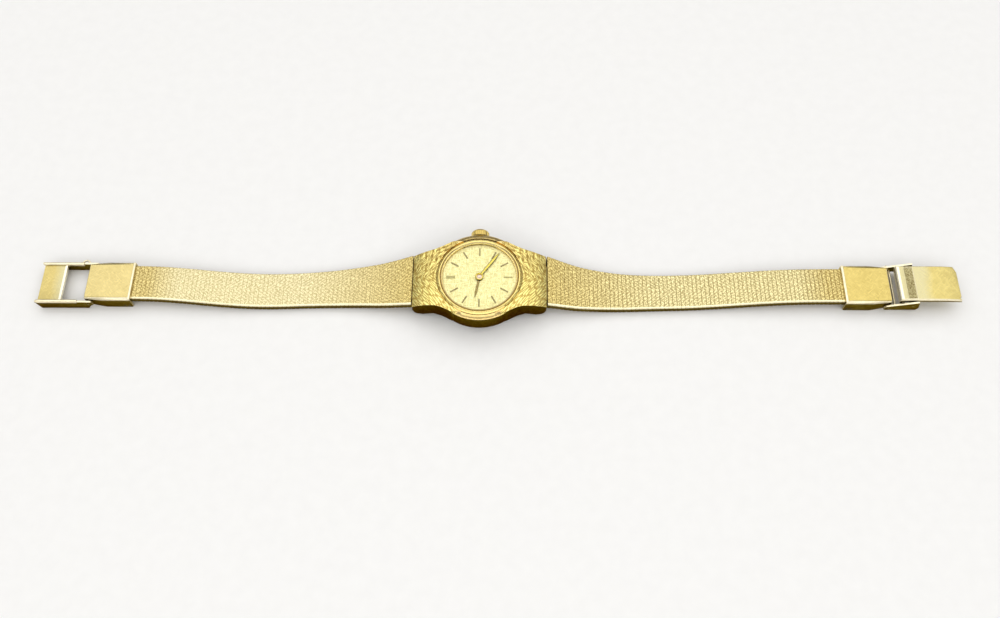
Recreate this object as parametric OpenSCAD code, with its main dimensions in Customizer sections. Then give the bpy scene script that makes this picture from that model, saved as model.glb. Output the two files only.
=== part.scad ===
// Lady's dress watch: round case with bark-finished shoulders, mesh bracelet and fold-over clasp.
// Millimetres. The origin is the middle of the case back's flat face. +X runs to 6 o'clock and the
// hook end of the bracelet, +Y to the crown at 3 o'clock, +Z up out of the dial.

/* [Case] */
// Diameter of the round case
case_d = 19.2; // [19:0.1:19.5]
// Height of the case band's underside
case_floor = 1.9; // [1.8:0.05:2]
// Height of the case band's outer edge
case_rim = 5.7; // [5.5:0.05:5.75]
// Height of the case's top beside the bezel
case_top = 5.95; // [5.9:0.05:6]
// Radius of the movement's bore in the case
case_bore_r = 8.4; // [8.35:0.05:8.45]
// Distance from the case centre to the shoulder's end
shoulder_end = 13.35; // [13.2:0.05:13.6]
// Width of the shoulder at its end
shoulder_w = 11.5; // [11.4:0.1:11.8]
// Height of the shoulder's top at its end
shoulder_top = 3.65; // [3.6:0.05:3.75]
// Height of the shoulder's top halfway down its slope
shoulder_mid = 4.9; // [4.8:0.05:5]
// Outer diameter of the bezel ring
bezel_d = 17.2; // [17:0.1:17.3]
// Height of the bezel's top
bezel_top = 6.15; // [6.1:0.05:6.25]
// Diameter of the crystal
crystal_d = 15; // [14.9:0.05:15.05]
// Rise of the crystal's dome
crystal_dome = 0.35; // [0.25:0.05:0.5]
// Thickness of the case back's plate
back_t = 0.8; // [0.7:0.05:0.85]
// Diameter of the case back's flat face
back_face_d = 15.6; // [15:0.2:16]

/* [Dial and hands] */
// Height of the dial's top face
dial_top = 5.3; // [5.28:0.01:5.3]
// Thickness of the dial
dial_t = 0.25; // [0.23:0.01:0.27]
// Length of an hour marker
marker_len = 1.75; // [1.6:0.05:1.9]
// Width of an hour marker
marker_w = 0.3; // [0.25:0.05:0.35]
// Radius at which the hour markers end
marker_r = 6.6; // [6.5:0.05:6.7]
// Minute hand's length from the centre
minute_len = 6.75; // [6.5:0.05:6.9]
// Hour hand's length from the centre
hour_len = 4.6; // [4.4:0.05:4.7]
// Minutes past the hour that the hands show
shown_minute = 21; // [0:1:59]
// Hour that the hands show
shown_hour = 9; // [1:1:12]

/* [Crown and stem] */
// Diameter of the crown
crown_d = 3.7; // [3.5:0.1:3.8]
// Length of the crown
crown_len = 1.65; // [1.6:0.05:1.9]
// Height of the stem's axis
stem_z = 3.97; // [3.96:0.01:3.98]
// Travel of the crown when it is pulled to set the time
crown_pull = 0.9; // [0.85:0.05:0.95]
// Radius of the stem where it runs in the main plate
stem_r = 0.36; // [0.35:0.005:0.365]

/* [Movement] */
// Radius of the main plate
plate_r = 7.7; // [7.65:0.05:7.7]
// Diameter of the battery
battery_d = 5.8; // [5.7:0.05:5.8]
// Thickness of the battery
battery_t = 2.1; // [2:0.05:2.15]
// Module of the centre wheel and the intermediate pinion
centre_module = 0.045; // [0.045:0.0005:0.0455]
// Module of the intermediate wheel and the rotor pinion
rotor_module = 0.05; // [0.049:0.0005:0.0505]
// Centre distance of the motion work
motion_distance = 1.6; // [1.58:0.01:1.62]
// Length of the coil's winding
coil_len = 5; // [4.8:0.1:5.1]
// Radius of the coil's winding
coil_r = 0.7; // [0.65:0.05:0.7]

/* [Bracelet] */
// Thickness of the mesh band
band_t = 1.6; // [1.5:0.05:1.7]
// Width of the mesh band past its flare
band_w = 7.45; // [7.3:0.05:7.45]
// Width of the mesh band where it meets the shoulder
band_root_w = 11.1; // [11:0.1:11.3]
// Length of the flare from the shoulder to the straight band
flare_len = 25; // [24:0.5:27]
// Pitch of the cross ribs
rib_pitch = 0.84; // [0.82:0.01:0.86]
// Depth of the grooves between the ribs
rib_depth = 0.12; // [0.08:0.01:0.15]
// Slope of the first stretch down from the shoulder, in degrees
root_slope = 10; // [8:0.5:11]
// How far the bands lie in front of a straight line at their middle
lie_bow = 1.1; // [0:0.1:1.4]
// Radius of the wire on which a stretch of mesh turns
wire_r = 0.3; // [0.28:0.01:0.32]

/* [Clasp] */
// Distance from the case centre to the left cap
cap_start_left = 70; // [69.6:0.1:70.4]
// Distance from the case centre to the right cap
cap_start_right = 73; // [72.7:0.1:73.5]
// Length of a clasp cap
cap_len = 9.2; // [8.8:0.1:9.4]
// Height of a clasp cap
cap_h = 3.2; // [3.15:0.05:3.3]
// Outer width of a cap at the band
cap_w = 8.5; // [8.4:0.05:8.55]
// Outer width of a cap at the clasp's frame
cap_end_w = 7.6; // [7.6:0.05:7.65]
// Thickness of the clasp's sheet
sheet_t = 0.38; // [0.36:0.01:0.4]
// Outer width over the clasp's rails
rails_w = 9.1; // [9.1:0.05:9.2]
// Length of the catch frame from its hinge to its end
catch_len = 10.75; // [10.6:0.05:11]
// Width of the catch frame's cross plate along the bracelet
cross_plate = 4.7; // [4.5:0.1:4.9]
// Length of the hook plate
hook_len = 12.25; // [12:0.05:12.5]
// Tilt of the link frame at rest, in degrees
link_tilt = 15; // [14:0.5:16]

/* [Hidden] */
eps = 0.01;
far = 60;

// Colours
gold = "#d9b654";
pale_gold = "#dcc98a";
brass = "#c9a54a";
steel = "#c3c6c9";
dark = "#4a4436";
plastic = "#e8e4d6";
copper = "#b5652f";
board_green = "#2f6b46";

// Running clearance of the pins, stems and mesh knuckles
run = 0.05;
knuckle_gap = 0.06;
// Gap between the shoulder and the band
joint_gap = 0.27;

// Case
case_r = case_d / 2;
bezel_r = bezel_d / 2;
crystal_r = crystal_d / 2;
gasket_w = 0.2;
rehaut_r = crystal_r - 0.1;
rehaut_top = case_top - 0.35;
crystal_seat = rehaut_top + 0.25;
back_rim_w = 0.45;
back_rim_h = 0.7;
back_flange_w = 0.4;
back_gasket_w = 0.26;
back_gasket_h = 0.34;
band_start = shoulder_end + joint_gap;

// Lug hinge: a pin across the shoulder, in a pocket that is open below and at the end
lug_pin_r = 0.55;
lug_pin_len = 10.4;
lug_knuckle_r = 0.95;
lug_knuckle_w = 7.6;
lug_pocket_w = 8;
lug_round_r = 1.15;
lug_z = 2.05;
lug_x = shoulder_end - 1.25;
pocket_top = shoulder_top - 0.5;

// Movement, from the case back up to the dial
plate_bottom = 3.3;
plate_floor = 4.3;
plate_top = dial_top - dial_t - 0.03;
pocket_r = plate_r - 1.4;
ring_in_r = plate_r + 0.05;
ring_out_r = case_bore_r - 0.05;
dial_r = case_bore_r - 0.15;
bridge_z = plate_bottom - 1.45;
bridge_t = 0.3;
intermediate_at = polar(40 * centre_module, -40);
rotor_at = intermediate_at + polar(33 * rotor_module, -20);
battery_at = [-(plate_r - battery_d / 2 - 0.2), -0.7];
posts = [[0.3, 2.4], [-0.9, -2.7], [3.9, 0.3]];
post_r = 0.6;
screw_r = 0.3;
screw_len = 1.7;
arbor_r = 0.1;
coil_at = [0.2, 1.85 - plate_r, bridge_z + 0.7];
coil_end = coil_len / 2 + 0.45;
centre_wheel_z = bridge_z + 1;
intermediate_z = bridge_z + 0.45;
clamp_at = battery_at + [0.9, -4.2];
clamp_t = 0.14;
wheel_t = 0.13;
minute_wheel_z = plate_floor + 0.08;
minute_wheel_at = [0, motion_distance];
hour_wheel_z = minute_wheel_z + 0.18;
motion_module = motion_distance / 24;
hour_module = motion_distance / 25;
cannon_r = 0.42;
cannon_bore_r = 0.2;
hour_tube_in_r = cannon_r + 0.07;
hour_tube_out_r = hour_tube_in_r + 0.17;
hand_t = 0.08;
hour_hand_z = dial_top + 0.12;
minute_hand_z = hour_hand_z + 0.16;
hub_r = 0.55;
hub_h = 0.13;
dial_hole_r = hour_tube_out_r + 0.12;

// Keyless work along the stem
clutch_in = 3.3;
clutch_len = 1;
clutch_r = 0.55;
clutch_shift = 0.35;
groove_y = 4.9;
groove_w = 0.36;
slot_in = 2.85;
slot_out = pocket_r;
lever_pin_y = groove_y + groove_w / 2;
lever_at = [2, lever_pin_y + crown_pull / 2];
lever_pin_r = 0.13;
tube_r = 1;
tube_bore_r = 0.5;
crown_in = case_r + 0.12;
crown_cap_y = crown_in + crown_len;
crown_bore_r = 1.4;
crown_bore = 0.95;
tube_out = 0.65;
stem_in = 1.3;

// Bracelet: six stretches of mesh on each side, hinged on wires across the band
ribs_root = 9;
ribs_link = 12;
root_len = ribs_root * rib_pitch;
link_len = ribs_link * rib_pitch;
link_r = band_t / 2;
finger_w = 1.2;
side_gap = 0.1;
tongue_len = 4.6;
root_z = shoulder_top - link_r - 0.08;
cap_band_z = cap_h - sheet_t - link_r - 0.01;
second_slope = asin((root_z - link_r - root_len * sin(root_slope)) / link_len);
rise_slope = asin((cap_band_z - link_r) / link_len);
slopes = [-root_slope, -second_slope, 0, 0, rise_slope, 0];

// Clasp
rail_out = rails_w / 2;
rail_in = rail_out - sheet_t;
catch_pin_r = 0.35;
catch_pin_z = 1.75;
hinge_back = 0.75;
catch_x = cap_start_left + cap_len - hinge_back;
catch_plate_top = 2.15;
catch_rail_top = 2.6;
link_pin_z = 1.5;
link_x = cap_start_right + cap_len - hinge_back;
link_len_pins = 5;
hook_pin_drop = 0.15;
hook_x = link_x + link_len_pins * cos(link_tilt) + hook_pin_drop * sin(link_tilt);
hook_z = link_pin_z + link_len_pins * sin(link_tilt) - hook_pin_drop * cos(link_tilt);
hook_start = hook_x - 2.65;
hook_top = hook_z + 1.2;
hook_t = 0.5;
hook_half = rail_in - 0.3;
lock_pin_r = 0.22;
lock_pin_z = 0.62;
lock_pin_step = 0.85;
lock_pin_in = 0.75;
lock_half = 3.5;
lock_len = 4.9;
ring_r = 0.75;
ring_wire_r = 0.17;
ring_eye = [1.3, 0.1];

function polar(r, a) = [r * cos(a), r * sin(a)];

// Half the band's width at a distance from the case centre
function flare(u) = min(1, max(0, 1 - (u - band_start) / flare_len));
function half_w(u) = (band_w + (band_root_w - band_w) * pow(flare(u), 2)) / 2;

// Sideways lie of the band at a distance from the case centre
function lie(u, cap_u) =
    -lie_bow * pow(sin(180 * min(1, max(0, (u - band_start) / (cap_u - band_start)))), 2);

// Hinge axis i of a band in the XZ plane: 0 is the band's start, 1 to 5 are its wires
function hinge(i) = i == 0 ? [band_start, root_z]
    : hinge(i - 1) + (i == 1 ? root_len : link_len) * [cos(slopes[i - 1]), sin(slopes[i - 1])];
function knuckle_w(i) = 2 * (half_w(hinge(i)[0]) - finger_w);

// Solids along a chosen axis
module ring(r_out, r_in, z0, z1) {
    translate([0, 0, z0]) difference() {
        cylinder(r = r_out, h = z1 - z0, $fn = 96);
        translate([0, 0, -1]) cylinder(r = r_in, h = z1 - z0 + 2, $fn = 96);
    }
}
module rod(r, h, at = [0, 0, 0]) {
    translate(at) cylinder(r = r, h = h, $fn = 48);
}
module rod_y(r, y0, y1, x = 0, z = 0) {
    translate([x, y1, z]) rotate([90, 0, 0]) cylinder(r = r, h = y1 - y0, $fn = 48);
}
module side_profile(points, half) {
    rotate([90, 0, 0]) translate([0, 0, -half]) linear_extrude(2 * half) polygon(points);
}
module slab_y(x0, x1, y0, y1, z0, z1) {
    translate([x0, y0, z0]) cube([x1 - x0, y1 - y0, z1 - z0]);
}
module on_side(side) {
    mirror([side == "left" ? 1 : 0, 0, 0]) children();
}

// Toothed wheel with one tooth, or one gap, in the direction start
module gear(teeth, pitch_module, thick, start = 0, gap_first = false) {
    root = pitch_module * (teeth / 2 - 1.15);
    tip = pitch_module * (teeth / 2 + 0.9);
    step = 360 / teeth;
    shift = start + (gap_first ? step / 2 : 0);
    linear_extrude(thick) polygon([for (k = [0 : teeth - 1]) for (p = [[root, -0.3], [tip, -0.12],
        [tip, 0.12], [root, 0.3]]) polar(p[0], shift + (k + p[1]) * step)]);
}

// Case
module shoulder_plan() {
    tangent = polar(case_r, 56);
    edge = concat([[shoulder_end, shoulder_w / 2]], [for (p = [[2.35, 0.3], [4.35, 0.6], [5.75, 1.05],
        [6.95, 1.65]]) [shoulder_end - p[0], shoulder_w / 2 + p[1]]], [tangent, [0, tangent[1]]]);
    for (s = [-1, 1]) scale([1, s]) polygon(concat([[0, -eps], [shoulder_end, -eps]], edge));
}
module shoulder_side() {
    inner = bezel_r - 0.3;
    slope_x = shoulder_end - 2.35;
    top = [[shoulder_end, shoulder_top], [slope_x, shoulder_mid], [bezel_r - 0.05, case_top + 0.05],
        [0, case_top + 0.05]];
    side_profile(concat([[0, case_floor], [lug_x - 2.9, case_floor], [lug_x - 0.8, lug_z - lug_round_r],
        [lug_x, lug_z - lug_round_r], [lug_x, lug_z], [shoulder_end, lug_z]], top), 12);
    rod_y(lug_round_r, -12, 12, lug_x, lug_z);
}
module shoulders() {
    for (side = ["left", "right"]) on_side(side) intersection() {
        shoulder_side();
        linear_extrude(far) shoulder_plan();
    }
}
module case_blank() {
    difference() {
        rotate_extrude($fn = 128) polygon([[0, case_floor], [case_r - 0.2, case_floor],
            [case_r, case_floor + 0.2], [case_r, case_rim - 0.1], [case_r - 0.1, case_rim],
            [bezel_r + 0.1, case_top], [0, case_top]]);
        // the round top gives way to the shoulders' slope at 6 and 12 o'clock
        for (side = ["left", "right"]) on_side(side) side_profile([[bezel_r + 0.05, case_top],
            [shoulder_end - 2.35, shoulder_mid], [shoulder_end, far], [bezel_r + 0.05, far]], 6.3);
    }
    shoulders();
}
module case_body() {
    color(gold) difference() {
        case_blank();
        translate([0, 0, -1]) rod(case_bore_r, dial_top + 1);
        rod(rehaut_r, far);
        translate([0, 0, rehaut_top]) rod(bezel_r + 0.02, far);
        ring(case_bore_r + back_gasket_w + 0.02, case_bore_r - 1, 0, case_floor + back_gasket_h);
        rod_y(tube_r, plate_r - 1, case_r + 2, 0, stem_z);
        for (side = ["left", "right"]) on_side(side) {
            slab_y(lug_x - lug_knuckle_r - 0.25, far, -lug_pocket_w / 2, lug_pocket_w / 2, 0, pocket_top);
            rod_y(lug_pin_r, -lug_pin_len / 2, lug_pin_len / 2, lug_x, lug_z);
        }
    }
}
module bezel() {
    seat_r = crystal_r + gasket_w + 0.02;
    color(gold) rotate_extrude($fn = 128) polygon([[rehaut_r, rehaut_top], [bezel_r, rehaut_top],
        [bezel_r, case_top + 0.05], [bezel_r - 0.3, bezel_top], [seat_r, bezel_top],
        [seat_r, crystal_seat], [rehaut_r, crystal_seat]]);
}
module crystal() {
    edge = bezel_top + 0.05;
    arc_r = (pow(crystal_r, 2) + pow(crystal_dome, 2)) / (2 * crystal_dome);
    color("#dfeef255") rotate_extrude($fn = 128) polygon(concat([[0, crystal_seat], [crystal_r, crystal_seat]],
        [for (k = [0 : 6]) let (r = crystal_r * (1 - k / 6))
        [r, edge + crystal_dome - arc_r + sqrt(pow(arc_r, 2) - pow(r, 2))]]));
}
module crystal_gasket() {
    color(plastic) ring(crystal_r + gasket_w, crystal_r + 0.01, crystal_seat, bezel_top - 0.05);
}
module case_back() {
    rim_out = case_bore_r - 0.05;
    flange = case_bore_r + back_flange_w;
    color(steel) rotate_extrude($fn = 128) polygon([[0, 0], [back_face_d / 2, 0], [flange, case_floor - 0.7],
        [flange, case_floor], [rim_out, case_floor], [rim_out, case_floor + back_rim_h - 0.35],
        [rim_out - back_rim_w, case_floor + back_rim_h - 0.35], [rim_out - back_rim_w, back_t],
        [0, back_t]]);
}
module back_gasket() {
    color(dark) ring(case_bore_r + back_gasket_w, case_bore_r + 0.01, case_floor, case_floor + back_gasket_h);
}
module case_tube() {
    color(brass) difference() {
        rod_y(tube_r - 0.01, case_bore_r + 0.05, crown_in + tube_out, 0, stem_z);
        rod_y(tube_bore_r, case_bore_r - 1, case_r + 3, 0, stem_z);
    }
}
module lug_pins() {
    color(steel) for (side = ["left", "right"]) on_side(side)
        rod_y(lug_pin_r - 0.01, -lug_pin_len / 2 + 0.02, lug_pin_len / 2 - 0.02, lug_x, lug_z);
}

// Dial and hands
module dial() {
    color("#efe6c4") difference() {
        union() {
            rod(dial_r, dial_t, [0, 0, dial_top - dial_t]);
            for (a = [35, 215]) rod(0.3, 0.9, concat(polar(plate_r - 0.65, a), dial_top - dial_t - 0.9));
        }
        rod(dial_hole_r, far);
    }
}
module hour_markers() {
    color(dark) for (k = [0 : 11]) rotate([0, 0, 180 - 30 * k]) {
        w = k == 0 ? 2 * marker_w : marker_w;
        slab_y(marker_r - marker_len, marker_r, -w / 2, w / 2, dial_top, dial_top + 0.06);
    }
}
function minute_angle() = 180 - 6 * shown_minute;
function hour_angle() = 180 - 30 * (shown_hour + shown_minute / 60);
module hand(len, tail, w, hub, bore, z, angle) {
    difference() {
        translate([0, 0, z]) union() {
            rotate([0, 0, angle]) linear_extrude(hand_t)
                polygon([[-tail, -0.12], [0.4, -0.2], [len * 0.45, -w / 2], [len, -0.05], [len, 0.05],
                [len * 0.45, w / 2], [0.4, 0.2], [-tail, 0.12]]);
            rod(hub, hand_t);
        }
        rod(bore, far);
    }
}
module hour_hand() {
    color(gold) hand(hour_len, 0.9, 0.42, 0.9, hour_tube_out_r + 0.01, hour_hand_z, hour_angle());
}
module minute_hand() {
    color(gold) hand(minute_len, 0.9, 0.5, 0.75, cannon_r + 0.01, minute_hand_z, minute_angle());
}

// Movement
module movement_ring() {
    color(plastic) difference() {
        ring(ring_out_r, ring_in_r, case_floor + back_rim_h - 0.3, plate_top);
        rod_y(0.8, plate_r - 1, far, 0, stem_z);
    }
}
module main_plate() {
    color(brass) difference() {
        union() {
            rod(plate_r, plate_top - plate_bottom, [0, 0, plate_bottom]);
            for (p = posts) rod(post_r, plate_bottom - bridge_z - bridge_t + eps,
                concat(p, bridge_z + bridge_t));
        }
        rod(pocket_r, far, [0, 0, plate_floor]);
        rod(0.3, far);
        slab_y(-0.75, 0.75, slot_in, slot_out, 0, far);
        rod_y(0.24, stem_in - 0.25, slot_in + 1, 0, stem_z);
        rod_y(stem_r + run, slot_out - 1, plate_r + 1, 0, stem_z);
        for (p = posts) rod(screw_r, screw_len + 0.1, concat(p, bridge_z));
        rod(0.26, 0.4, concat(clamp_at, plate_bottom - eps));
        for (a = [35, 215]) rod(0.32, 1.3, concat(polar(plate_r - 0.65, a), dial_top - dial_t - 0.95));
        for (p = [intermediate_at, rotor_at]) rod(arbor_r + 0.03, far, concat(p, 0));
    }
    color(steel) {
        rod(0.15, 0.42, concat(minute_wheel_at, plate_floor - eps));
        rod(0.2, 0.42, concat(lever_at, plate_floor - eps));
    }
}
module train_bridge() {
    color(brass) difference() {
        translate([0, 0, bridge_z]) linear_extrude(bridge_t) union() {
            polygon([posts[0] + [-0.5, 0.5], posts[0] + [0.6, 0.6], posts[2] + [0.7, 0.4],
                posts[2] + [0.5, -0.7], [rotor_at[0] + 0.7, rotor_at[1] - 0.4],
                [rotor_at[0] - 0.3, rotor_at[1] - 0.8], posts[1] + [0.3, -0.7], posts[1] + [-0.7, -0.3],
                posts[0] + [-1, -0.8]]);
            for (p = posts) translate(p) circle(post_r + 0.2, $fn = 48);
        }
        for (p = posts) rod(screw_r + 0.02, far, concat(p, 0));
        for (p = [[0, 0], intermediate_at, rotor_at]) rod(arbor_r + 0.03, far, concat(p, 0));
    }
}
module bridge_screws() {
    color(steel) for (p = posts) difference() {
        union() {
            rod(0.5, 0.22, concat(p, bridge_z - 0.22));
            rod(screw_r - 0.01, screw_len, concat(p, bridge_z - eps));
        }
        translate(concat(p, bridge_z - 0.22)) cube([1.2, 0.14, 0.16], center = true);
    }
}
module battery() {
    color(steel) translate(concat(battery_at, plate_bottom - 0.04 - battery_t)) {
        cylinder(r = battery_d / 2 - 0.25, h = battery_t, $fn = 64);
        translate([0, 0, 0.2]) cylinder(r = battery_d / 2, h = battery_t - 0.2, $fn = 64);
    }
}
module battery_clamp() {
    b = battery_at;
    z = plate_bottom - 0.06 - battery_t - clamp_t;
    color(brass) {
        translate([0, 0, z]) linear_extrude(clamp_t) union() {
            polygon([b + [-0.6, 2.4], b + [0.6, 2.4], b + [0.6, -2.4], clamp_at + [0.5, 0.3],
                clamp_at + [-0.5, 0.3], b + [-0.6, -2.4]]);
            translate(clamp_at) circle(0.6, $fn = 32);
        }
        rod(0.25, plate_bottom + 0.35 - z, concat(clamp_at, z));
    }
}
module coil() {
    color(copper) translate(coil_at) rotate([0, 90, 0]) difference() {
        cylinder(r = coil_r, h = coil_len, center = true, $fn = 48);
        cylinder(r = 0.25, h = far, center = true, $fn = 48);
    }
    color(steel) translate(coil_at) {
        rotate([0, 90, 0]) cylinder(r = 0.24, h = 2 * coil_end, center = true, $fn = 48);
        for (s = [-1, 1]) translate([s * coil_end, 0, 0.1]) cube([0.7, 1, 0.7], center = true);
    }
}
module stator() {
    z = coil_at[2] + 0.46;
    left_end = [coil_at[0] - coil_end, coil_at[1]];
    right_end = [coil_at[0] + coil_end, coil_at[1]];
    color(steel) difference() {
        translate([0, 0, z]) linear_extrude(0.2) union() {
            polygon([left_end + [-0.35, -0.45], left_end + [0.35, -0.45], left_end + [0.35, 0.8],
                left_end + [1.2, 0.95], rotor_at + [-0.3, -1.1], rotor_at + [-0.95, -0.5],
                left_end + [0.6, 1.6], left_end + [-0.35, 0.9]]);
            polygon([right_end + [-0.35, -0.45], right_end + [0.35, -0.45], right_end + [0.5, 2],
                rotor_at + [1, 0.3], rotor_at + [0, -1], right_end + [-0.35, 1.4]]);
            translate(rotor_at) circle(1.15, $fn = 48);
        }
        rod(0.72, far, concat(rotor_at, 0));
    }
}
module circuit_board() {
    z = intermediate_z;
    color(board_green) intersection() {
        translate([0, 0, z]) linear_extrude(0.15) polygon([[1.3, 1.5], [4.8, 1.5], [5.1, -4.2], [6.4, -3.6],
            [7.3, 0], [6.4, 3.6], [4.2, 6.2], [1.3, 6.6]]);
        rod(plate_r - 0.1, far);
    }
    color(dark) slab_y(2.6, 4.8, 2.4, 4.4, z + 0.15 - eps, plate_bottom - 0.02);
}
module quartz_can() {
    color(steel) translate([-1.3, plate_r - 1.95, bridge_z + 0.63]) rotate([0, 90, 215]) {
        cylinder(r = 0.72, h = 4.6, $fn = 48);
        translate([0, 0, -0.15]) cylinder(r = 0.6, h = 0.2, $fn = 48);
    }
}
module rotor() {
    z = intermediate_z - 0.03;
    color(steel) translate(concat(rotor_at, 0)) {
        rod(0.55, 0.5, [0, 0, bridge_z + 0.9]);
        rod(arbor_r, 1.75, [0, 0, bridge_z + 0.02]);
        translate([0, 0, z]) gear(6, rotor_module, 0.2, -20 + 180, true);
    }
}
module intermediate_wheel() {
    color(brass) translate(concat(intermediate_at, 0)) {
        translate([0, 0, intermediate_z]) gear(60, rotor_module, wheel_t, -20);
        translate([0, 0, intermediate_z + wheel_t - eps]) gear(8, centre_module, 0.8, -40 + 180);
        rod(arbor_r, 1.75, [0, 0, bridge_z + 0.02]);
    }
}
module centre_wheel() {
    color(brass) {
        translate([0, 0, centre_wheel_z]) gear(72, centre_module, wheel_t, -40, true);
        rod(arbor_r, 1, [0, 0, bridge_z + 0.02]);
        rod(cannon_bore_r - 0.01, minute_hand_z - centre_wheel_z, [0, 0, centre_wheel_z]);
    }
}
module cannon_pinion() {
    color(brass) difference() {
        union() {
            translate([0, 0, minute_wheel_z - 0.03]) gear(12, motion_module, 0.18, 90);
            rod(cannon_r, minute_hand_z + hand_t + 0.03 - minute_wheel_z - 0.12, [0, 0, minute_wheel_z + 0.12]);
        }
        rod(cannon_bore_r, minute_hand_z + eps);
    }
    cap_r = (pow(hub_r, 2) + pow(hub_h, 2)) / (2 * hub_h);
    color("#d8c3b4") intersection() {
        translate([0, 0, minute_hand_z + hand_t + 0.02 + hub_h - cap_r]) sphere(r = cap_r, $fn = 48);
        rod(hub_r, far, [0, 0, minute_hand_z + hand_t + 0.02]);
    }
}
module minute_wheel() {
    color(brass) translate(concat(minute_wheel_at, 0)) difference() {
        union() {
            translate([0, 0, minute_wheel_z]) gear(36, motion_module, 0.1, 270, true);
            translate([0, 0, minute_wheel_z + 0.1 - eps]) gear(10, hour_module, 0.24, 270);
        }
        rod(0.15 + run, far);
    }
}
module hour_wheel() {
    color(brass) difference() {
        union() {
            translate([0, 0, hour_wheel_z]) gear(40, hour_module, 0.1, 90, true);
            rod(hour_tube_out_r, hour_hand_z + hand_t + 0.02 - hour_wheel_z, [0, 0, hour_wheel_z]);
        }
        rod(hour_tube_in_r, far);
    }
}

// Crown and keyless work
module crown() {
    r = crown_d / 2;
    flutes = 26;
    color(gold) difference() {
        rotate([-90, 0, 0]) translate([0, -stem_z, crown_in]) rotate_extrude($fn = 96) polygon([[0, 0], [r - 0.15, 0], [r, 0.15],
            [r, crown_len - 0.65], [r - 0.12, crown_len - 0.4], [r * 0.78, crown_len - 0.15],
            [r * 0.45, crown_len - 0.03], [0, crown_len]]);
        rod_y(crown_bore_r, crown_in - 1, crown_in + crown_bore, 0, stem_z);
        rod_y(stem_r, 0, crown_cap_y - 0.3, 0, stem_z);
        for (k = [0 : flutes - 1]) translate([0, 0, stem_z]) rotate([0, k * 360 / flutes, 0])
            rod_y(0.13, crown_in - 1, crown_in + crown_len - 0.55, r + 0.05, 0);
    }
}
module crown_gasket() {
    color(dark) difference() {
        rod_y(crown_bore_r - 0.02, crown_in + 0.15, crown_in + 0.5, 0, stem_z);
        rod_y(tube_r + 0.02, 0, far, 0, stem_z);
    }
}
module stem() {
    color(steel) difference() {
        union() {
            rod_y(0.2, stem_in, slot_in + 0.1, 0, stem_z);
            rod_y(0.26, slot_in, groove_y - 0.2, 0, stem_z);
            rod_y(stem_r, groove_y - 0.2, crown_cap_y - 0.32, 0, stem_z);
        }
        difference() {
            rod_y(1, groove_y, groove_y + groove_w, 0, stem_z);
            rod_y(0.2, 0, far, 0, stem_z);
        }
    }
}
module clutch() {
    color(steel) difference() {
        rod_y(clutch_r, clutch_in, clutch_in + clutch_len, 0, stem_z);
        rod_y(0.3, 0, far, 0, stem_z);
        difference() {
            rod_y(1, clutch_in + 0.35, clutch_in + 0.65, 0, stem_z);
            rod_y(0.38, 0, far, 0, stem_z);
        }
        for (k = [0 : 7]) translate([0, clutch_in, stem_z]) rotate([0, 45 * k, 0])
            translate([0.28, -0.1, -0.06]) cube([0.4, 0.24, 0.12]);
    }
}
module setting_lever() {
    z = plate_floor + 0.22;
    color(steel) difference() {
        union() {
            translate([0, 0, z]) linear_extrude(0.14) union() {
                polygon([[0, lever_pin_y - 0.25], [0, lever_pin_y + 0.25], lever_at + [0, 0.4],
                    lever_at - [0, 0.4]]);
                translate([0, lever_pin_y]) circle(0.25, $fn = 32);
                translate(lever_at) circle(0.4, $fn = 48);
            }
            rod(lever_pin_r, z + 0.05 - stem_z - 0.24, [0, lever_pin_y, stem_z + 0.24]);
        }
        rod(0.2 + run, far, concat(lever_at, 0));
    }
}
module yoke() {
    z = plate_floor + 0.07;
    y = clutch_in + clutch_len / 2;
    color(steel) translate([0, 0, z]) linear_extrude(0.12) polygon([[0.15, y - 0.1], [0.15, y + 0.1],
        [-1.2, y + 0.12], [-2.2, y + 1], [-3.4, y + 1.2], [-3.6, y + 0.5], [-2.4, y - 0.1],
        [-1.4, y - 0.12]]);
}

// Bracelet
module band_plan(cap_u) {
    steps = 30;
    ends = [band_start - 1, cap_u + tongue_len];
    us = [for (k = [0 : steps]) ends[0] + (ends[1] - ends[0]) * k / steps];
    translate([0, 0, -5]) linear_extrude(15) polygon(concat(
        [for (u = us) [u, lie(u, cap_u) - half_w(u)]],
        [for (k = [steps : -1 : 0]) [us[k], lie(us[k], cap_u) + half_w(us[k])]]));
}
module ribbed_slab(len) {
    ribs = round(len / rib_pitch);
    pitch = len / ribs;
    side_profile(concat([[0, -link_r], [len, -link_r]], [for (k = [ribs - 1 : -1 : 0])
        for (p = [[1, rib_depth], [0.8, 0], [0.2, 0], [0, rib_depth]])
        [(k + p[0]) * pitch, link_r - p[1]]]), 8);
}
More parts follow.
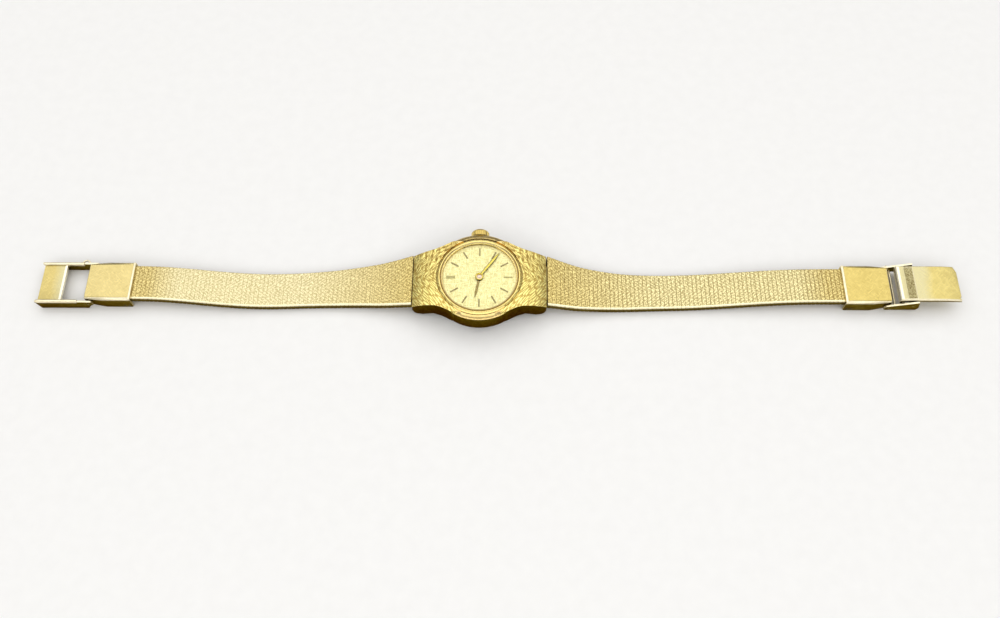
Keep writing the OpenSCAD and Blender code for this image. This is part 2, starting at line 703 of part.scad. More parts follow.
// A cylinder across the band at hinge i, on the band's own centre line
module cross_rod(i, r, width, cap_u) {
    h = hinge(i);
    c = lie(h[0], cap_u);
    rod_y(r, c - width / 2, c + width / 2, h[0], h[1]);
}
module side_recess(i, cap_u) {
    difference() {
        cross_rod(i, link_r + knuckle_gap, 30, cap_u);
        cross_rod(i, link_r + 1, knuckle_w(i), cap_u);
    }
}
module stretch(i, len, cap_u) {
    h = hinge(i - 1);
    intersection() {
        translate([h[0], 0, h[1]]) rotate([0, -slopes[i - 1], 0]) ribbed_slab(len);
        band_plan(cap_u);
    }
}
module band_root(cap_u) {
    difference() {
        union() {
            intersection() {
                union() {
                    stretch(1, root_len, cap_u);
                    stretch_start(cap_u);
                }
                slab_y(band_start, far, -20, 20, -1, far);
            }
            fingers(1, cap_u);
            difference() {
                union() {
                    rod_y(lug_knuckle_r, -lug_knuckle_w / 2, lug_knuckle_w / 2, lug_x, lug_z);
                    side_profile([[lug_x, lug_z - lug_knuckle_r], [band_start + 0.6, root_z - link_r + 0.02],
                        [band_start + 0.6, root_z], [band_start - 0.3, lug_z + lug_knuckle_r + 0.05],
                        [lug_x, lug_z + lug_knuckle_r]], lug_knuckle_w / 2);
                }
            }
        }
        rod_y(lug_pin_r + run, -10, 10, lug_x, lug_z);
        cross_rod(1, link_r + knuckle_gap, knuckle_w(1) + 2 * side_gap, cap_u);
    }
    cross_rod(1, wire_r, knuckle_w(1) + 2 * side_gap + 0.6, cap_u);
}
// Closes the wedge between the sloping first stretch and the upright end face
module stretch_start(cap_u) {
    intersection() {
        translate([band_start, 0, root_z]) rotate([0, root_slope, 0])
            slab_y(-0.4, 0.4, -8, 8, -link_r, link_r - rib_depth);
        band_plan(cap_u);
    }
}
module fingers(i, cap_u) {
    intersection() {
        cross_rod(i, link_r, 30, cap_u);
        band_plan(cap_u);
    }
}
module band_link(i, cap_u) {
    difference() {
        union() {
            stretch(i, link_len, cap_u);
            cross_rod(i - 1, link_r, knuckle_w(i - 1), cap_u);
            fingers(i, cap_u);
        }
        side_recess(i - 1, cap_u);
        cross_rod(i - 1, wire_r + knuckle_gap, 30, cap_u);
        cross_rod(i, link_r + knuckle_gap, knuckle_w(i) + 2 * side_gap, cap_u);
    }
    cross_rod(i, wire_r, knuckle_w(i) + 2 * side_gap + 0.6, cap_u);
}
module band_end(cap_u) {
    difference() {
        union() {
            stretch(6, cap_u + tongue_len - hinge(5)[0], cap_u);
            cross_rod(5, link_r, knuckle_w(5), cap_u);
        }
        side_recess(5, cap_u);
        cross_rod(5, wire_r + knuckle_gap, 30, cap_u);
    }
}
module band_piece(side, i) {
    cap_u = side == "left" ? cap_start_left : cap_start_right;
    color(pale_gold) on_side(side) {
        if (i == 1) band_root(cap_u);
        if (i > 1 && i < 6) band_link(i, cap_u);
        if (i == 6) band_end(cap_u);
    }
}

// Clasp
module cap_plan(half, end_half) {
    polygon([[-1, -half], [cap_len * 0.6, -half], [cap_len + 1, -end_half], [cap_len + 1, end_half],
        [cap_len * 0.6, half], [-1, half]]);
}
module clasp_cap(side) {
    cap_u = side == "left" ? cap_start_left : cap_start_right;
    pin_z = side == "left" ? catch_pin_z : link_pin_z;
    color(pale_gold) on_side(side) translate([cap_u, 0, 0]) difference() {
        intersection() {
            side_profile([[0, 0.3], [0.3, 0], [cap_len * 0.58, 0], [cap_len, 0.85], [cap_len, cap_h - 0.1],
                [cap_len - 0.1, cap_h], [0.1, cap_h], [0, cap_h - 0.1]], 8);
            linear_extrude(far) cap_plan(cap_w / 2, cap_end_w / 2 - 0.05);
        }
        translate([0, 0, -1]) linear_extrude(1 + cap_h - sheet_t)
            cap_plan(cap_w / 2 - sheet_t, cap_end_w / 2 - sheet_t - 0.05);
        rod_y(catch_pin_r, -rails_w, rails_w, cap_len - hinge_back, pin_z);
        for (k = [0, 1]) rod_y(lock_pin_r, -rails_w, rails_w, lock_pin_in + k * lock_pin_step, lock_pin_z);
    }
}
module lock_pins(side) {
    cap_u = side == "left" ? cap_start_left : cap_start_right;
    color(dark) on_side(side) for (k = [0, 1])
        rod_y(lock_pin_r - 0.01, -cap_w / 2, cap_w / 2, cap_u + lock_pin_in + k * lock_pin_step, lock_pin_z);
}
module lock_plate(side) {
    cap_u = side == "left" ? cap_start_left : cap_start_right;
    color(pale_gold) on_side(side) translate([cap_u + lock_pin_in, 0, 0]) difference() {
        union() {
            rod_y(0.4, -lock_half, lock_half, 0, lock_pin_z);
            side_profile([[-0.35, 0.45], [-0.25, 0.1], [lock_len - 0.3, 0.1], [lock_len, 0.35],
                [lock_len - 0.1, cap_band_z - link_r - 0.06],
                [lock_len - 0.35, cap_band_z - link_r - 0.06], [lock_len - 0.5, 0.36],
                [0.3, 0.36], [0.2, 0.45]], lock_half);
        }
        rod_y(lock_pin_r + run, -rails_w, rails_w, 0, lock_pin_z);
    }
}
module rails(points, x, z) {
    for (s = [-1, 1]) translate([x, s * (rail_out - sheet_t / 2), z]) side_profile(points, sheet_t / 2);
}
module catch_frame() {
    plate_in = catch_len - 0.35 - cross_plate;
    top = catch_rail_top - catch_pin_z;
    color(pale_gold) on_side("left") difference() {
        union() {
            rails([[-0.75, -0.35], [-0.1, -0.75], [0.6, -catch_pin_z], [catch_len - 0.6, -catch_pin_z],
                [catch_len, top - 0.15], [catch_len, top], [-0.5, top - 0.15], [-0.75, 0.3]],
                catch_x, catch_pin_z);
            translate([catch_x, 0, 0]) side_profile([[plate_in, catch_plate_top - 0.45],
                [catch_len - 0.35, catch_plate_top - 0.45], [catch_len - 0.35, catch_plate_top],
                [plate_in + 0.55, catch_plate_top], [plate_in + 0.45, catch_plate_top + 0.22],
                [plate_in, catch_plate_top + 0.22]], rail_in + eps);
            translate([catch_x + 2.1, rail_out, 2.1]) rotate([0, 0, 0]) rotate_extrude(angle = 180, $fn = 48)
                translate([0.68, 0]) circle(0.18, $fn = 24);
        }
        rod_y(catch_pin_r + run, -rails_w, rails_w, catch_x, catch_pin_z);
    }
}
module catch_pin() {
    color(steel) on_side("left") rod_y(catch_pin_r - 0.01, -rail_out, rail_out, catch_x, catch_pin_z);
}
module link_frame() {
    color(pale_gold) difference() {
        translate([link_x, 0, link_pin_z]) rotate([0, -link_tilt, 0]) difference() {
            union() {
                rails([[-0.65, -0.3], [-0.3, -0.65], [0.8, -0.9], [5.5, -2.1], [6.05, -1.4], [6.2, 0.75],
                    [0, 0.65], [-0.5, 0.4]], 0, 0);
                rod_y(0.22, -rail_in - eps, rail_in + eps, 1.75, -0.8);
            }
            rod_y(ring_wire_r + 0.16, 0, 9, ring_eye[0], ring_eye[1]);
        }
        rod_y(catch_pin_r + run, -rails_w, rails_w, link_x, link_pin_z);
        rod_y(catch_pin_r, -rails_w, rails_w, hook_x, hook_z);
    }
}
module link_pin() {
    color(steel) rod_y(catch_pin_r - 0.01, -rail_out, rail_out, link_x, link_pin_z);
}
module hook_pin() {
    color(steel) rod_y(catch_pin_r - 0.01, -rail_out, rail_out, hook_x, hook_z);
}
module hook_plate() {
    x1 = hook_start + hook_len;
    color(pale_gold) difference() {
        union() {
            intersection() {
                side_profile([[hook_start, hook_top - 0.25], [hook_start + 0.25, hook_top],
                    [x1 - 3, hook_top], [x1 - 0.1, hook_top - 0.25], [x1, hook_top - 0.55],
                    [x1 - 0.2, hook_top - 0.75], [x1 - 3, hook_top - hook_t],
                    [hook_start + 0.5, hook_top - hook_t], [hook_start + 0.5, hook_top - 1.1],
                    [hook_start + 1.1, hook_top - 1.1], [hook_start + 1.1, hook_top - 1.5],
                    [hook_start + 0.25, hook_top - 1.5], [hook_start, hook_top - 1.25]], hook_half);
                linear_extrude(far) polygon([[0, -hook_half], [x1, -hook_half], [x1, -hook_half + 0.45],
                    [x1 - 0.3, -hook_half + 0.45], [x1 - 0.3, -hook_half + 0.9], [x1, -hook_half + 0.9],
                    [x1, hook_half - 1.5], [x1 - 0.7, hook_half], [0, hook_half]]);
            }
            for (s = [-1, 1]) translate([0, s * (hook_half - 0.2), 0]) {
                rod_y(0.7, -0.2, 0.2, hook_x, hook_z);
                slab_y(hook_x - 0.7, hook_x + 0.7, -0.2, 0.2, hook_z, hook_top - hook_t + eps);
            }
        }
        rod_y(catch_pin_r + run, -rails_w, rails_w, hook_x, hook_z);
        slab_y(hook_start + 1.6, hook_start + 3.4, -hook_half + 0.4, hook_half - 0.4, hook_top - 0.08, far);
    }
}
module jump_ring() {
    color(pale_gold) translate([link_x, rail_out - sheet_t / 2, link_pin_z]) rotate([0, -link_tilt, 0])
        translate([ring_eye[0], 0, ring_eye[1] - ring_r]) rotate([0, 90, 0]) rotate([0, 0, 20])
        rotate_extrude(angle = 320, $fn = 48) translate([ring_r, 0]) circle(ring_wire_r, $fn = 24);
}

case_body();
bezel();
crystal();
crystal_gasket();
case_back();
back_gasket();
case_tube();
lug_pins();
dial();
hour_markers();
movement_ring();
main_plate();
train_bridge();
bridge_screws();
battery();
battery_clamp();
coil();
stator();
circuit_board();
quartz_can();
rotor();
intermediate_wheel();
centre_wheel();
cannon_pinion();
minute_wheel();
hour_wheel();
hour_hand();
minute_hand();
crown();
crown_gasket();
stem();
clutch();
setting_lever();
yoke();
band_piece("left", 1);  // band_left_1
band_piece("left", 2);  // band_left_2
band_piece("left", 3);  // band_left_3
band_piece("left", 4);  // band_left_4
band_piece("left", 5);  // band_left_5
band_piece("left", 6);  // band_left_6
band_piece("right", 1);  // band_right_1
band_piece("right", 2);  // band_right_2
band_piece("right", 3);  // band_right_3
band_piece("right", 4);  // band_right_4
band_piece("right", 5);  // band_right_5
band_piece("right", 6);  // band_right_6
clasp_cap("left");  // clasp_cap_left
clasp_cap("right");  // clasp_cap_right
lock_plate("left");  // lock_plate_left
lock_plate("right");  // lock_plate_right
lock_pins("left");  // lock_pins_left
lock_pins("right");  // lock_pins_right
catch_frame();
catch_pin();
link_frame();
link_pin();
hook_plate();
hook_pin();
jump_ring();
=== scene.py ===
# Lady's dress watch with a mesh bracelet, laid open and flat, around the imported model.
# Metres in Blender; sizes below are in millimetres and are scaled by MM.
import math

import bmesh
import bpy
import numpy as np
from mathutils import Matrix, Vector, noise


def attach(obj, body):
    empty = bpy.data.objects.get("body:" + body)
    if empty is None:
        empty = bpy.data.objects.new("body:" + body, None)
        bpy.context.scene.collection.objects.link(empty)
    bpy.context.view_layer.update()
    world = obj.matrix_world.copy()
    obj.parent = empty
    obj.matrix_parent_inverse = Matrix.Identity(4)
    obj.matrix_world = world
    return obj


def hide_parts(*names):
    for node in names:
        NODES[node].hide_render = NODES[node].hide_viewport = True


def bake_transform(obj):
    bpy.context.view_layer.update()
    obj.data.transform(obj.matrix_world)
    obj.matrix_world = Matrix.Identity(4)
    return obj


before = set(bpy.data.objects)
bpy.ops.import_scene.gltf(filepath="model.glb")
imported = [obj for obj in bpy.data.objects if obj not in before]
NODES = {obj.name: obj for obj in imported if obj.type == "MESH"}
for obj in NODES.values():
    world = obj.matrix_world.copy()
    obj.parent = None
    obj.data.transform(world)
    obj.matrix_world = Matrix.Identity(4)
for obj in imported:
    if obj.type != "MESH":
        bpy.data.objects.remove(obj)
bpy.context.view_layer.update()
SIGN = {"left": -1, "right": 1}
MM = 0.001

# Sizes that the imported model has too. HINGES and LUG give distances from the case's centre and heights.
BAND_START = 13.62
BAND_W = 7.45
ROOT_W = 11.1
FLARE = 25
LIE_BOW = 1.1
LIE_PEAK = {"left": 1.15, "right": 0.61}
RIB = 0.84
TONGUE = 4.6
CAP_START = {"left": 70.0, "right": 73.0}
HINGES = [(13.62, 2.77), (21.065, 1.457), (31.124, 0.8), (41.204, 0.8), (51.284, 0.8), (61.291, 2.01)]
LUG = (12.1, 2.05)
BEZEL_R = 8.6
CASE_TOP = 5.95
CROWN_AXIS_Z = 3.97
CAP_HALF = 4.25
CLASP_HALF = 3.87


# Shader building
class Look:
    """A Principled material, with short names for the nodes that feed it."""

    def __init__(self, name, colour, roughness, metallic=0.0, **sockets):
        self.material = bpy.data.materials.new(name)
        self.material.use_nodes = True
        self.tree = self.material.node_tree
        self.shader = self.tree.nodes["Principled BSDF"]
        self.set(self.shader, 0, colour)
        self.set(self.shader, "Roughness", roughness)
        self.shader.inputs["Metallic"].default_value = metallic
        for key, value in sockets.items():
            self.shader.inputs[key.replace("_", " ")].default_value = value

    def set(self, node, key, value):
        if isinstance(value, bpy.types.NodeSocket):
            self.tree.links.new(value, node.inputs[key])
        elif isinstance(value, (tuple, list)) and len(node.inputs[key].default_value) == 4:
            node.inputs[key].default_value = (*value[:3], 1)
        else:
            node.inputs[key].default_value = value

    def node(self, kind, inputs, out=0, **props):
        node = self.tree.nodes.new(kind)
        for key, value in props.items():
            setattr(node, key, value)
        for key, value in inputs.items():
            self.set(node, key, value)
        return node.outputs[out]

    def calc(self, op, a, b=0.0):
        return self.node("ShaderNodeMath", {0: a, 1: b}, operation=op)

    def vector(self, op, a, b):
        return self.node("ShaderNodeVectorMath", {0: a, 1: b}, operation=op)

    def length(self, at):
        return self.node("ShaderNodeVectorMath", {0: at}, out="Value", operation="LENGTH")

    def axis(self, at, name):
        return self.node("ShaderNodeSeparateXYZ", {0: at}, out=name)

    def place(self, attribute=None):
        """Millimetres on the piece: its own coordinates, or those kept in an attribute."""
        if attribute:
            return self.node("ShaderNodeAttribute", {}, out="Vector", attribute_name=attribute)
        metres = self.node("ShaderNodeTexCoord", {}, out="Object")
        return self.vector("MULTIPLY", metres, (1000, 1000, 1000))

    def from_centre(self, at):
        """Distance from the upright line through the case's centre."""
        return self.length(self.vector("MULTIPLY", at, (1, 1, 0)))

    def turn(self, at, angle, scale):
        """The place turned by an angle about z, then stretched."""
        turned = self.node("ShaderNodeMapping", {"Vector": at, "Rotation": (0, 0, math.radians(angle))})
        return self.node("ShaderNodeMapping", {"Vector": turned, "Scale": scale})

    def mirrored(self, at):
        return self.node("ShaderNodeVectorMath", {0: at}, operation="ABSOLUTE")

    def noise(self, at, scale=1.0, detail=2.0, rough=0.5):
        inputs = {"Vector": at, "Scale": scale, "Detail": detail, "Roughness": rough}
        return self.node("ShaderNodeTexNoise", inputs)

    def edges(self, at):
        """Distance to the nearest edge between scattered cells."""
        return self.node("ShaderNodeTexVoronoi", {"Vector": at, "Scale": 1.0}, out="Distance",
                         feature="DISTANCE_TO_EDGE", voronoi_dimensions="2D")

    def ramp(self, value, low, high, a=0.0, b=1.0):
        return self.node("ShaderNodeMapRange", {0: value, 1: low, 2: high, 3: a, 4: b})

    def between(self, value, low, high, soft):
        """1 from low to high, with a soft start and end inside them."""
        start = self.ramp(value, low, low + soft)
        return self.calc("MULTIPLY", start, self.ramp(value, high - soft, high, 1, 0))

    def mix(self, share, a, b):
        node = self.tree.nodes.new("ShaderNodeMix")
        node.data_type = "RGBA"
        self.set(node, 0, share)
        self.set(node, 6, a)
        self.set(node, 7, b)
        return node.outputs[2]

    def colour(self, value):
        self.set(self.shader, "Base Color", value)

    def rough(self, value):
        self.set(self.shader, "Roughness", value)

    def bump(self, height, distance):
        normal = self.node("ShaderNodeBump", {"Height": height, "Distance": distance * MM, "Strength": 1.0})
        self.tree.links.new(normal, self.shader.inputs["Normal"])


STROKE_ANGLE = 52
GOLD = (0.80, 0.60, 0.24)
GOLD_WARM = (0.74, 0.56, 0.18)
PALE = (0.89, 0.80, 0.49)
GREY_GOLD = (0.60, 0.545, 0.31)
SLANT_BROWN = (0.35, 0.27, 0.09)


def polished_gold(name, light, deep, roughness=0.18, seam=None, slant=(1, 1, 1)):
    """Polished plate with faint clouds; seam is the radius about z inside which the colour turns near
    black, and slant the tint of what is seen at a low angle."""
    k = Look(name, light, roughness, 1.0, Specular_Tint=(*slant, 1))
    at = k.place()
    wear = k.ramp(k.noise(at, 1.3, 4), 0.3, 0.75)
    tone = k.mix(wear, light, deep)
    if seam:
        speckle = k.ramp(k.noise(at, 3.2, 3), 0.4, 0.6, -0.12, 0.1)
        away = k.calc("ADD", k.from_centre(at), speckle)
        tone = k.mix(k.ramp(away, seam + 0.16, seam + 0.3, 0.85, 0), tone, (0.10, 0.07, 0.02))
    k.colour(tone)
    k.rough(k.ramp(k.noise(at, 3.5, 5), 0.3, 0.7, roughness - 0.05, roughness + 0.1))
    k.bump(k.noise(at, 9, 3), 0.004)
    return k.material


def bark(k, at, along=0.45, across=2.7):
    """Height of short strokes that lean away from the case on both sides of the middle line."""
    y = k.axis(at, "Y")
    flat = k.node("ShaderNodeCombineXYZ", {0: k.calc("ABSOLUTE", k.axis(at, "X")), 1: y})
    warp = k.noise(flat, 0.8, 2)
    lean = k.vector("ADD", flat, k.node("ShaderNodeCombineXYZ", {0: warp, 1: warp}))
    halves = []
    for angle, shift in ((STROKE_ANGLE, 0), (-STROKE_ANGLE, 31)):
        moved = k.vector("ADD", lean, (shift, shift, 0))
        cells = k.ramp(k.edges(k.turn(moved, angle, (along, across, 0))), 0.0, 0.3)
        strands = k.noise(k.turn(moved, angle, (along * 1.6, across * 2.3, 0)), 1, 3, 0.6)
        halves.append(k.calc("ADD", k.calc("MULTIPLY", cells, 0.5), k.calc("MULTIPLY", strands, 0.7)))
    wander = k.ramp(k.noise(flat, 0.7, 2), 0.3, 0.7, -1.3, 1.3)
    middle = k.ramp(k.calc("ADD", y, wander), -0.5, 0.5)
    upper = k.calc("MULTIPLY", halves[0], middle)
    return k.calc("ADD", upper, k.calc("MULTIPLY", halves[1], k.calc("SUBTRACT", 1, middle)))


def bark_gold(name):
    """The shoulders' finish: strokes that lean away from the case, in painted shade that is browner
    towards the far side and beside the bezel.
    """
    k = Look(name, GOLD, 0.3, 1.0)
    at = k.place()
    height = bark(k, at)
    level = k.ramp(height, 0.48, 0.74)
    away = k.from_centre(at)
    # painted shade: darker and browner towards the far side and close to the bezel
    to_far_side = k.ramp(k.axis(at, "Y"), -2.5, 5, 0.02, 0.95)
    shade = k.calc("MULTIPLY", to_far_side, k.ramp(away, 9.2, 12.2, 1, 0.45))
    shade = k.calc("MULTIPLY", shade, k.ramp(k.noise(at, 0.55, 3), 0.35, 0.6, 0.5, 1))
    light = k.mix(shade, (1.0, 0.88, 0.31), (0.82, 0.64, 0.22))
    deep = k.mix(shade, (0.56, 0.39, 0.10), (0.27, 0.17, 0.04))
    seam = k.ramp(away, 8.62, 8.8, 0.12, 0)
    k.colour(k.mix(seam, k.mix(level, deep, light), (0.16, 0.11, 0.03)))
    k.rough(k.ramp(level, 0, 1, 0.46, 0.28))
    k.bump(height, 0.035)
    return k.material


def mesh_gold(name, rows, pale, pale_deep, cap_u):
    """Woven gold: rows of slanting wire across the band, under the shoulders' strokes. The colour darkens
    where the relief is low, painted shade that is deepest in the grooves between rows.
    """
    k = Look(name, pale, 0.34, 1.0)
    flat = k.place("flat")
    at = k.mirrored(flat)
    u = k.axis(flat, "X")
    v = k.axis(at, "Y")
    row = k.calc("FRACT", k.calc("MULTIPLY", k.calc("SUBTRACT", u, BAND_START), 1 / RIB))
    edge = k.calc("MULTIPLY", k.calc("ABSOLUTE", k.calc("SUBTRACT", row, 0.5)), 2)
    groove = k.ramp(edge, 0.70, 1.0)
    uneven = k.noise(flat, 1.4, 2)
    slant = k.calc("ADD", k.calc("MULTIPLY", v, 2.9), k.calc("MULTIPLY", u, 2.2))
    slant = k.calc("ADD", slant, k.calc("MULTIPLY", uneven, 1.6))
    wire = k.calc("SINE", k.calc("MULTIPLY", slant, math.pi))
    counter = k.noise(k.turn(at, -STROKE_ANGLE, (2.0, 6.2, 0)), 1, 2)
    height = k.calc("ADD", bark(k, flat, 1.3, 4.2), k.calc("MULTIPLY", wire, 0.11))
    height = k.calc("ADD", height, k.calc("MULTIPLY", counter, 0.3))
    # the grooves also darken the colour through level: painted shade
    strength = k.calc("MULTIPLY", groove, k.ramp(u, 16, 30, 0.25 * rows, rows))
    height = k.calc("SUBTRACT", height, k.calc("MULTIPLY", strength, 0.4))
    level = k.ramp(height, 0.58, 0.96)
    paleness = k.calc("MULTIPLY", k.ramp(u, 13, 36), k.ramp(u, cap_u - 9, cap_u - 3, 1, 0.15))
    light = k.mix(paleness, (0.80, 0.65, 0.25), pale)
    deep = k.mix(paleness, (0.36, 0.25, 0.07), pale_deep)
    k.colour(k.mix(level, deep, light))
    k.rough(k.ramp(level, 0, 1, 0.48, 0.3))
    k.bump(height, 0.03)
    return k.material


def brushed_gold(name, light, deep, pale=None, dark=None, lip=None):
    """Fine crossed brushing on the clasp's sheet. Between the two places along x that pale gives it
    turns to grey gold; dark names a stippled stretch with a painted dark reflection and lip a painted
    highlight."""
    k = Look(name, light, 0.26, 1.0)
    at = k.place()
    one = k.noise(k.turn(at, 45, (0.9, 6.5, 0.9)), 1, 3)
    two = k.noise(k.turn(at, -45, (0.9, 6.5, 0.9)), 1, 3)
    lines = k.calc("MAXIMUM", one, two)
    cloud = k.noise(at, 0.32, 3)
    clouded = k.mix(k.ramp(cloud, 0.3, 0.7, 0, 0.5), deep, light)
    tone = k.mix(k.ramp(lines, 0.46, 0.66), clouded, light)
    x = k.axis(at, "X")
    if pale:
        ragged = k.calc("ADD", x, k.ramp(cloud, 0.3, 0.7, -0.5, 0.5))
        tone = k.mix(k.ramp(ragged, *pale, 0.85, 0), tone, GREY_GOLD)
    if dark:
        # stippling with a painted dark reflection over it
        stipple = k.ramp(k.noise(at, 4.2, 3), 0.42, 0.58, 0.35, 1)
        tone = k.mix(k.calc("MULTIPLY", k.between(x, *dark, 0.15), stipple), tone, (0.17, 0.13, 0.045))
    if lip:
        # painted highlight along the lip
        tone = k.mix(k.between(x, *lip, 0.1), tone, (0.94, 0.88, 0.68))
    k.colour(tone)
    k.rough(k.ramp(lines, 0.45, 0.75, 0.34, 0.22))
    k.bump(lines, 0.008)
    return k.material


def fluted_crown():
    """Gold with painted shade in the flutes round the barrel."""
    k = Look("fluted_crown", GOLD_WARM, 0.2, 1.0)
    at = k.place()
    from_axis = k.vector("MULTIPLY", k.vector("SUBTRACT", at, (0, 0, CROWN_AXIS_Z)), (1, 0, 1))
    barrel = k.ramp(k.axis(at, "Y"), 10.75, 10.9, 1, 0)
    # painted shade in the flutes' hollows
    flute = k.calc("MULTIPLY", k.ramp(k.length(from_axis), 1.70, 1.80, 0.9, 0), barrel)
    cloud = k.ramp(k.noise(at, 1.6, 4), 0.3, 0.7)
    k.colour(k.mix(flute, k.mix(cloud, GOLD_WARM, (0.60, 0.44, 0.13)), (0.13, 0.09, 0.03)))
    k.rough(k.ramp(k.noise(at, 4, 4), 0.3, 0.7, 0.16, 0.28))
    k.bump(k.noise(at, 8, 3), 0.004)
    return k.material


def metal(name, colour, deep, roughness):
    """Plain metal with a fine grain."""
    k = Look(name, colour, roughness, 1.0)
    grain = k.noise(k.place(), 4, 4)
    k.colour(k.mix(k.ramp(grain, 0.3, 0.7), deep, colour))
    k.rough(k.ramp(grain, 0.3, 0.7, roughness + 0.08, roughness - 0.04))
    k.bump(grain, 0.004)
    return k.material


def turned_steel():
    """Steel with fine rings about the case's centre."""
    k = Look("turned_steel", (0.62, 0.62, 0.61), 0.3, 1.0)
    at = k.place()
    rings = k.node("ShaderNodeTexWave", {"Vector": at, "Scale": 2.6, "Distortion": 0.4, "Detail": 3},
                   out="Fac", wave_type="RINGS", rings_direction="Z")
    grain = k.noise(at, 6, 4)
    k.colour(k.mix(k.calc("MULTIPLY", rings, grain), (0.68, 0.68, 0.67), (0.5, 0.5, 0.49)))
    k.rough(k.ramp(grain, 0.3, 0.7, 0.36, 0.24))
    k.bump(rings, 0.004)
    return k.material


def moulded(name, colour, deep, roughness, scale=8.0):
    """Plastic or rubber with a fine grain."""
    k = Look(name, colour, roughness)
    grain = k.noise(k.place(), scale, 4)
    k.colour(k.mix(k.ramp(grain, 0.3, 0.7), deep, colour))
    k.rough(k.ramp(grain, 0.2, 0.8, roughness - 0.06, roughness + 0.08))
    k.bump(grain, 0.006)
    return k.material


def dial_linen():
    """Champagne dial with a fine crossed weave."""
    k = Look("dial_linen", (0.93, 0.85, 0.42), 0.4, 0.45)
    at = k.place()
    warp = k.noise(k.turn(at, 0, (4.4, 0.9, 0)), 1, 2)
    weft = k.noise(k.turn(at, 0, (0.9, 4.4, 0)), 1, 2)
    linen = k.calc("MAXIMUM", warp, weft)
    cloud = k.noise(at, 0.4, 3)
    base = k.mix(k.ramp(cloud, 0.35, 0.7), (0.86, 0.79, 0.39), (0.81, 0.74, 0.35))
    k.colour(k.mix(k.ramp(linen, 0.45, 0.66), (0.58, 0.52, 0.22), base))
    k.rough(k.ramp(linen, 0.4, 0.7, 0.5, 0.34))
    k.bump(linen, 0.02)
    return k.material


def marker_paint():
    """Dark brown markers; the two on the band's line are olive."""
    k = Look("marker_paint", (0.20, 0.16, 0.06), 0.5, 0.3)
    at = k.place()
    grain = k.ramp(k.noise(at, 0.5, 2), 0.3, 0.7)
    olive = k.mix(grain, (0.36, 0.32, 0.12), (0.33, 0.29, 0.10))
    brown = k.mix(grain, (0.26, 0.21, 0.08), (0.21, 0.17, 0.06))
    k.colour(k.mix(k.ramp(k.axis(k.mirrored(at), "Y"), 0.4, 0.7), olive, brown))
    k.rough(k.ramp(grain, 0, 1, 0.5, 0.44))
    return k.material


def wound_copper():
    """The coil's fine windings."""
    k = Look("wound_copper", (0.55, 0.22, 0.09), 0.3, 0.8)
    wire = k.node("ShaderNodeTexWave", {"Vector": k.place(), "Scale": 3.2, "Distortion": 0.3}, out="Fac",
                  bands_direction="X")
    k.colour(k.mix(wire, (0.25, 0.08, 0.03), (0.62, 0.27, 0.12)))
    k.rough(k.ramp(wire, 0, 1, 0.45, 0.28))
    k.bump(wire, 0.02)
    return k.material


def clear_crystal():
    """Thin clear glass: what lies under it shows, and lamps reach it. It bends light little, so
    that the dial stays in view from low angles."""
    k = Look("clear_crystal", (1, 1, 1), 0.03, 0.0, Transmission_Weight=1.0, IOR=1.15)
    k.rough(k.ramp(k.noise(k.place(), 0.8, 4), 0.45, 0.8, 0.02, 0.05))
    through = k.node("ShaderNodeBsdfTransparent", {})
    shadow = k.node("ShaderNodeLightPath", {}, out="Is Shadow Ray")
    mixed = k.node("ShaderNodeMixShader", {0: shadow, 1: k.shader.outputs[0], 2: through})
    k.tree.links.new(mixed, k.tree.nodes["Material Output"].inputs[0])
    return k.material


